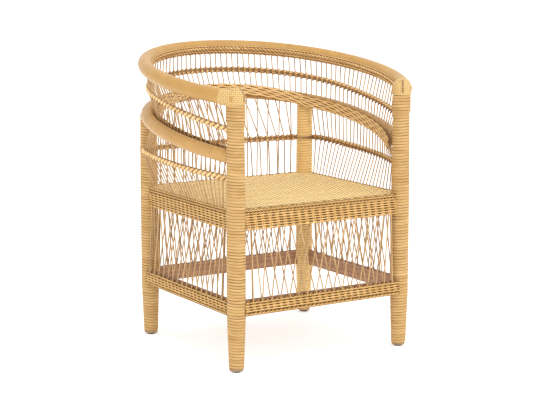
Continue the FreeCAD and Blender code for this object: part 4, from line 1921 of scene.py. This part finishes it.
@dataclass
class Braids(Assembly):
    """The upper and lower braids that hold the stakes, and the belts on the rear posts."""

    twine: Strands = Strands(10.8 * MM, 7.4 * MM, 2, 3.4 * MM, 4.8 * MM, 0.4 * MM, 12)
    step: float = 3.2 * MM
    overlap: float = 4 * MM
    flat: Strands = Strands(4.6 * MM, 2.2 * MM, jitter=0.25 * MM)
    belt_lift: float = 2.4 * MM
    belt_room: float = 0.7 * MM
    belt_rise: float = 0.02 * MM
    belt_steps: int = 40

    def build(self) -> None:
        """Make both braids and the belts."""
        stakes = self.wall.stakes()
        line = self.wall.lines[Level.UPPER]
        room = self.plan.neck_radius - self.overlap
        upper = self._guide(Level.UPPER, sorted(stake[2][1] for stake in stakes), room,
                            line.length - room)
        self.weave("upper_twine", [([upper], self.twine)], Look.BRAID, "cane_strand",
                   "upper_braid_outer", "upper_braid_inner")
        runs = sorted(stake[2][3] for stake in stakes if stake[2][3] is not None)
        line = self.wall.lines[Level.LOWER]
        room = self.plan.post_radius - self.overlap
        corner = self.wall.corner(Level.LOWER)
        far = line.length - corner
        lower = [self._guide(Level.LOWER, runs, *ends) for ends in (
            (room, corner - room), (corner + room, far - room), (far + room, line.length - room))]
        self.weave("lower_twine", [(lower, self.twine)], Look.BRAID, "cane_strand",
                   "lower_braid_right", "lower_braid_rear", "lower_braid_left")
        self._belts(line.at(corner).z)

    def _guide(self, level: Level, runs: Sequence[float], start: float, end: float) -> Guide:
        """Lay the guide of one braid.

        Args:
            level: The braid's hoop.
            runs: The runs of the stakes that it crosses.
            start: Its first run.
            end: Its last run.

        Returns:
            The guide.
        """
        pitch = (runs[-1] - runs[0]) / (len(runs) - 1)
        line = self.wall.lines[level]
        return Guide.along(start, end, self.step,
                           lambda run: (line.at(run), *self.wall.axes(level, run)),
                           lambda run: run / pitch)

    def _belts(self, z: float) -> None:
        """Make the flat strands that go round the rear posts.

        Args:
            z: The height of their middle.
        """
        half = self.belt_rise / 2
        guides = [Guide.helix(self.plan.post(name),
                              lambda height: self.plan.post_radius_at(height) + self.belt_room,
                              z + lift - half, z + lift + half, self.belt_rise,
                              steps=self.belt_steps)
                  for name in ("rear_left", "rear_right")
                  for lift in (-self.belt_lift, self.belt_lift)]
        self.weave("post_belts", [(guides, self.flat)], Look.BRAID, "cane_strand",
                   "lower_braid_belts")


@dataclass
class Stakes(Assembly):
    """The thin canes that stand between the seat and the rim."""

    bend: float = 70 * MM
    jitter: float = 0.55 * MM

    def build(self) -> None:
        """Make the stakes of each bay."""
        groups: Dict[str, List[Guide]] = {"right": [], "rear": [], "left": [], "corner": []}
        for home, points, runs in self.wall.stakes():
            out, up = self.wall.axes(Level.ARM, runs[2])
            rows = np.array([tuple(point) for point in points])
            groups[home].append(Guide(rows, np.tile(np.array(out), (len(rows), 1)),
                                      np.tile(np.array(out.cross(up)), (len(rows), 1)),
                                      np.arange(len(rows), dtype=float)))
        for home, guides in groups.items():
            canes = self.shop.canes("stakes_" + home, guides, self.plan.stake_radius,
                                    self.bend, self.jitter, Look.STAKE)
            self.shop.settle(canes, "stake_cane", ["wall_stakes_" + home])


@dataclass(frozen=True)
class SideFrame:
    """The axes of one side of the square under the seat."""

    side: Side
    middle: Vector
    along: Vector
    out: Vector
    half: float
    post_radius: float

    @property
    def name(self) -> str:
        """The side's name."""
        return self.side.value

    @classmethod
    def every(cls, plan: ChairSize) -> List["SideFrame"]:
        """List all four sides.

        Args:
            plan: The chair's shared sizes.

        Returns:
            The sides.
        """
        x, y, shift = (Vector(axis) for axis in ((1, 0, 0), (0, 1, 0), (0, plan.shift_y, 0)))
        wide, deep, radius = plan.half_x, plan.half_y, plan.post_radius
        return [cls(Side.FRONT, shift - y * deep, x, -y, wide, radius),
                cls(Side.REAR, shift + y * deep, -x, y, wide, radius),
                cls(Side.LEFT, shift - x * wide, -y, -x, deep, radius),
                cls(Side.RIGHT, shift + x * wide, y, x, deep, radius)]

    def point(self, place: float, out: float, z: float) -> Vector:
        """Find a point."""
        return self.middle + self.along * place + self.out * out + UP * z

    def reach(self, out: float) -> float:
        """Tell how far from the middle the posts' surface is."""
        return self.half - math.sqrt(max(self.post_radius ** 2 - out ** 2, 0.0))


@dataclass(frozen=True)
class RowSize:
    """Level rows of strands in the weave of a side.

    Attributes:
        strands: The strands.
        first: The distance from the weave's edge to the first row.
        beat: The distance between crossings.
        count: How many rows there are.
        pitch: The distance between rows.
        shift: How many beats each row is ahead of the one before.
        out: How far outside the weave's middle they are.
        hanging: Whether they are counted from the upper edge down.
    """

    strands: Strands
    first: float
    beat: float
    count: int = 1
    pitch: float = 0.0
    shift: float = 0.0
    out: float = 0.0
    hanging: bool = False


@dataclass(frozen=True)
class WeaveSize:
    """The weave on a rail or stretcher."""

    name: str
    node: str
    rib_pitch: float
    rib_radius: float
    rows: Tuple[RowSize, ...]


@dataclass
class SideWeaves(Assembly):
    """The aprons, stretcher bands, boards and lattices of the four sides."""

    apron: WeaveSize = WeaveSize("apron_weave_", "apron_", 12 * MM, 0.8 * MM, (
        RowSize(Strands(7.0 * MM, 2.6 * MM, swing_out=1.2 * MM), 11.6 * MM, 12 * MM, 5,
                7.2 * MM, 0.12),
        RowSize(Strands(6.4 * MM, 3.4 * MM, 2, swing_out=1.7 * MM, swing_up=1.6 * MM),
                4 * MM, 12 * MM, 2, 8 * MM, 0.5, hanging=True),
        RowSize(Strands(7.6 * MM, 5.0 * MM), 4 * MM, 12 * MM)))
    band: WeaveSize = WeaveSize("stretcher_weave_", "stretcher_band_", 11 * MM, 1.2 * MM, (
        RowSize(Strands(7.6 * MM, 2.8 * MM, swing_out=1.4 * MM), 12.8 * MM, 11 * MM, 3,
                7.6 * MM, 0.2, out=0.6 * MM),
        RowSize(Strands(7.0 * MM, 4.2 * MM, 2, swing_out=2.2 * MM, swing_up=1.7 * MM),
                4.6 * MM, 14 * MM),
        RowSize(Strands(7.4 * MM, 4.6 * MM, 2, swing_out=2.0 * MM, swing_up=1.2 * MM),
                4.6 * MM, 16 * MM, hanging=True)))
    overlap: float = 1.5 * MM
    rib_room: float = 3 * MM
    rib_step: float = 20 * MM
    rib_points: float = 30 * MM
    board_room: float = 0.3 * MM
    board_overlap: float = 1 * MM
    board_bevel: float = 1.2 * MM
    lattice_overlap: float = 4 * MM
    lattice_bend: float = 5 * MM
    lattice_jitter: float = 0.7 * MM
    lattice_points: float = 60 * MM

    def build(self) -> None:
        """Make all four sides."""
        plan = self.plan
        for side in SideFrame.every(plan):
            self._weave(side, self.apron, plan.apron_outset - plan.apron_thickness / 2,
                        plan.seat_z, plan.apron_height)
            self._weave(side, self.band,
                        plan.stretcher_outset - plan.stretcher_thickness / 2,
                        plan.stretcher_z, plan.stretcher_height)
            self._board(side)
            self._lattice(side)

    def _weave(self, side: SideFrame, size: WeaveSize, out: float, top: float,
               height: float) -> None:
        """Make the weave on one rail or stretcher.

        Args:
            side: The side.
            size: The weave's shape.
            out: How far outside the posts' axes its middle is.
            top: The height of its upper edge.
            height: How high it is.
        """
        lays = []
        for rows in size.rows:
            guides = []
            for number in range(rows.count):
                step = rows.first + rows.pitch * number
                z = top - step if rows.hanging else top - height + step
                place = out + rows.out
                reach = side.reach(place) + self.overlap
                guides.append(Guide.straight(side.point(-reach, place, z),
                                             side.point(reach, place, z), side.out, UP,
                                             rows.beat, rows.shift * number))
            lays.append((guides, rows.strands))
        pieces = [self.shop.woven("rows", lays, Look.APRON),
                  self._ribs(side, out, top - height + self.rib_room, top - self.rib_room,
                             size)]
        weave = self.shop.joined(size.name + side.name, pieces)
        self.shop.settle(weave, "woven_cane", [size.node + side.name])

    def _ribs(self, side: SideFrame, out: float, low: float, high: float,
              size: WeaveSize) -> bpy.types.Object:
        """Make the upright ribs inside a weave.

        Args:
            side: The side.
            out: How far outside the posts' axes they are.
            low: The height of their feet.
            high: The height of their tops.
            size: The weave's shape.

        Returns:
            The ribs.
        """
        reach = side.reach(out)
        guides = []
        for index in range(int(2 * reach / size.rib_pitch) + 1):
            place = -reach - self.overlap + index * size.rib_pitch
            guides.append(Guide.straight(side.point(place, out, low),
                                         side.point(place, out, high), side.out, side.along,
                                         self.rib_points))
        return self.ribs(guides, size.rib_radius, self.rib_step)

    def _board(self, side: SideFrame) -> None:
        """Make one stretcher's board, behind its band.

        Args:
            side: The side.
        """
        plan = self.plan
        outer = plan.stretcher_outset - plan.stretcher_thickness - self.board_room
        bottom = plan.stretcher_z - (plan.stretcher_height + plan.board_height) / 2
        reach = side.reach(outer) + self.board_overlap
        corners = [side.point(-reach, outer - plan.board_thickness, bottom),
                   side.point(reach, outer, bottom + plan.board_height)]
        low, high = [Vector([pick(corner[axis] for corner in corners) for axis in range(3)])
                     for pick in (min, max)]
        look = Look.BOARD_X if side.side in (Side.FRONT, Side.REAR) else Look.BOARD_Y
        board = self.shop.box("board_" + side.name, low, high, self.board_bevel, look)
        self.shop.settle(board, "board_wood", ["stretcher_board_" + side.name])

    def _lattice(self, side: SideFrame) -> None:
        """Make one side's crossed canes.

        Args:
            side: The side.
        """
        plan = self.plan
        free = side.half - plan.post_radius - plan.lattice_pitch / 2
        count = round(2 * free / plan.lattice_pitch) + 1
        top_out = plan.apron_outset - plan.apron_thickness / 2
        foot_out = plan.stretcher_outset - plan.stretcher_thickness / 2
        guides = []
        for index in range(count):
            foot = -free + index * (2 * free / (count - 1))
            taper = 1 - (foot / free) ** 4
            for sign in (1, -1):
                top = foot + sign * plan.lattice_lean * taper
                low = side.point(foot, foot_out + sign * plan.layer,
                                 plan.stretcher_z - self.lattice_overlap)
                high = side.point(top, top_out + sign * plan.layer,
                                  plan.seat_z - plan.apron_height + self.lattice_overlap)
                guides.append(Guide.straight(low, high, side.out, side.along,
                                             self.lattice_points, steps_per_beat=1))
        canes = self.shop.canes("lattice_canes_" + side.name, guides,
                                plan.lattice_radius, self.lattice_bend, self.lattice_jitter,
                                Look.STAKE)
        self.shop.settle(canes, "stake_cane", ["lattice_" + side.name])


@dataclass
class Seat(Assembly):
    """The woven seat mat."""

    edge_room: float = 1.5 * MM
    sunk: float = 2.2 * MM
    weave_strands: Strands = Strands(7.3 * MM, 1.8 * MM, swing_out=1.1 * MM, jitter=0.3 * MM,
                                     sides=6)
    border: Strands = Strands(5.8 * MM, 2.0 * MM, swing_out=1.5 * MM)
    border_rows: Tuple[int, ...] = (1, 2)
    row_pitch: float = 7.5 * MM
    rib_pitch: float = 18 * MM
    rib_radius: float = 1.1 * MM
    rib_step: float = 30 * MM
    rib_points: float = 60 * MM
    post_room: float = 0.5 * MM
    lining_room: float = 1 * MM
    lining: Tuple[float, float] = (3.4 * MM, 4.2 * MM)
    lining_bevel: float = 0.2 * MM

    def build(self) -> None:
        """Make the mat."""
        plan = self.plan
        edge = plan.apron_outset - plan.apron_thickness - self.edge_room
        half_x, half_y = plan.half_x + edge, plan.half_y + edge
        middle = plan.seat_z - self.sunk
        count = int(2 * half_y / self.row_pitch)
        plain, border = [], []
        for number in range(count):
            y = -half_y + (number + 0.5) * (2 * half_y / count)
            reach = self._reach(half_x, abs(abs(y) - plan.half_y), plan.half_x)
            first = (half_x - reach) / self.rib_pitch + 0.5 * number
            guide = Guide.straight(Vector((-reach, y + plan.shift_y, middle)),
                                   Vector((reach, y + plan.shift_y, middle)), UP,
                                   Vector((0.0, 1.0, 0.0)), self.rib_pitch, first)
            (border if number in self.border_rows else plain).append(guide)
        ribs = []
        for number in range(int(2 * half_x / self.rib_pitch) + 1):
            x = -half_x + number * self.rib_pitch
            reach = self._reach(half_y, abs(abs(x) - plan.half_x), plan.half_y)
            ribs.append(Guide.straight(Vector((x, plan.shift_y - reach, middle)),
                                       Vector((x, plan.shift_y + reach, middle)), UP,
                                       Vector((1.0, 0.0, 0.0)), self.rib_points))
        pieces = [self.shop.woven("rows", [(plain, self.weave_strands)], Look.SEAT),
                  self.shop.woven("border", [(border, self.border)], Look.SEAT_BORDER),
                  self.ribs(ribs, self.rib_radius, self.rib_step)]
        cut = plan.post_radius + edge + self.lining_room
        top, bottom = (plan.seat_z - depth for depth in self.lining)
        for cut_x, cut_y in ((0.0, cut), (cut, 0.0)):
            low = Vector((cut_x - half_x, plan.shift_y - half_y + cut_y, bottom))
            high = Vector((-low.x, 2 * plan.shift_y - low.y, top))
            pieces.append(self.shop.box("lining", low, high, self.lining_bevel,
                                        Look.SEAT))
        self.shop.settle(self.shop.joined("seat_weave", pieces), "woven_cane", ["seat_mat"])

    def _reach(self, half: float, beside: float, post: float) -> float:
        """Tell how far a row or rib reaches before it meets a post.

        Args:
            half: Half the mat's width along it.
            beside: How far it passes from the posts' middle.
            post: Where the posts are along it.

        Returns:
            The reach to each side.
        """
        radius = self.plan.post_radius + self.post_room
        if beside >= radius:
            return half
        return min(half, post - math.sqrt(radius ** 2 - beside ** 2))


# The stage


@dataclass(frozen=True)
class LampSize:
    """One soft lamp."""

    name: str
    azimuth: float
    elevation: float
    distance: float
    size: float
    power: float


class Stage:
    """The floor, the lamps, the sky and the camera."""

    CAMERA_AZIMUTH = -31.9112
    CAMERA_ELEVATION = 9.6289
    CAMERA_DISTANCE = 4.6145
    TARGET_Z = 0.40
    LENS = 100.9
    SHIFT = (0.0040, 0.0054)
    LAMPS = (LampSize("key_lamp", -10.0, 62.0, 3.2, 3.0, 40.0),
             LampSize("fill_lamp", 60.0, 30.0, 3.5, 3.0, 8.0))

    def __init__(self, plan: ChairSize) -> None:
        """Hold the chair's sizes."""
        self.target = Vector((0.0, plan.shift_y, self.TARGET_Z))

    def build(self) -> None:
        """Make the stage."""
        self._floor()
        for lamp in self.LAMPS:
            self._lamp(lamp)
        self._sky()
        self._camera()
        scene = bpy.context.scene
        scene.view_settings.view_transform = "Standard"
        scene.view_settings.look = "None"
        scene.view_settings.exposure = 0.0
        scene.view_settings.gamma = 1.0

    def _aimed(self, name: str, data: bpy.types.ID, azimuth: float, elevation: float,
               distance: float) -> bpy.types.Object:
        """Place a lamp or camera that looks at the chair.

        Args:
            name: The object's name.
            data: The lamp or camera.
            azimuth: Degrees from the front, towards the right.
            elevation: Degrees above level.
            distance: How far away it is.

        Returns:
            The object.
        """
        turn, rise = math.radians(azimuth), math.radians(elevation)
        back = Vector((math.sin(turn) * math.cos(rise), -math.cos(turn) * math.cos(rise),
                       math.sin(rise)))
        obj = placed(name, data)
        obj.location = self.target + back * distance
        obj.rotation_euler = back.to_track_quat("Z", "Y").to_euler()
        return obj

    def _floor(self) -> None:
        """Make the pale floor."""
        material = bpy.data.materials.new("floor")
        tree = ShaderTree(material)
        tree.put("Base Color", (0.97, 0.97, 0.97))
        tree.put("Emission Color", (1.0, 1.0, 1.0))
        tree.put("Emission Strength", 0.35)
        tree.put("Roughness", 0.95)
        tree.put("Specular IOR Level", 0.0)
        half = 30.0
        mesh = bpy.data.meshes.new("floor")
        mesh.from_pydata([(-half, -half, 0.0), (half, -half, 0.0), (half, half, 0.0),
                          (-half, half, 0.0)], [], [(0, 1, 2, 3)])
        mesh.materials.append(material)
        placed("floor", mesh)

    def _lamp(self, size: LampSize) -> None:
        """Hang one lamp.

        Args:
            size: The lamp.
        """
        data = bpy.data.lights.new(size.name, "AREA")
        data.shape = "DISK"
        data.size = size.size
        data.energy = size.power
        self._aimed(size.name, data, size.azimuth, size.elevation, size.distance)

    def _sky(self) -> None:
        """Light the scene evenly, and show white behind it."""
        world = bpy.data.worlds.new("sky")
        world.use_nodes = True
        tree = Tree(world.node_tree)
        tree.nodes.nodes.clear()
        rays = tree.node("ShaderNodeLightPath")
        seen = Flow(tree, rays.outputs["Is Camera Ray"])
        soft = tree.flow("ShaderNodeBackground", 0, {0: (1.0, 0.99, 0.98, 1.0), 1: 1.15})
        white = tree.flow("ShaderNodeBackground", 0, {0: (1.0, 1.0, 1.0, 1.0), 1: 1.0})
        mixed = tree.flow("ShaderNodeMixShader", 0, {0: seen, 1: soft, 2: white})
        tree.node("ShaderNodeOutputWorld", {0: mixed})
        bpy.context.scene.world = world

    def _camera(self) -> None:
        """Place the camera."""
        data = bpy.data.cameras.new("camera")
        data.lens = self.LENS
        data.sensor_width = 36.0
        data.shift_x, data.shift_y = self.SHIFT
        bpy.context.scene.camera = self._aimed("camera", data, self.CAMERA_AZIMUTH,
                                               self.CAMERA_ELEVATION, self.CAMERA_DISTANCE)


def dress_frame(looks: Dict[Look, bpy.types.Material]) -> None:
    """Give the frame's own shown nodes their materials.

    Args:
        looks: The materials.
    """
    wood = {"post_pole_": Look.POLE, "seat_rail_front": Look.BOARD_X,
            "seat_rail_rear": Look.BOARD_X, "seat_rail_": Look.BOARD_Y,
            "seat_slat_": Look.BOARD_Y}
    for name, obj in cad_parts.items():
        for start, look in wood.items():
            if name.startswith(start):
                obj.data.materials.clear()
                obj.data.materials.append(looks[look])
                break


def main() -> None:
    """Build the chair's looks and the stage."""
    logging.basicConfig(level=logging.INFO, format="%(name)s %(message)s")
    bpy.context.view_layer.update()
    plan = ChairSize()
    wall = Wall(plan)
    shop = Workshop()
    for part in (Posts, Rim, ArmRing, Braids, Stakes, SideWeaves, Seat):
        part(wall, shop).build()
    dress_frame(shop.looks)
    Stage(plan).build()


if __name__ == "__main__":
    main()
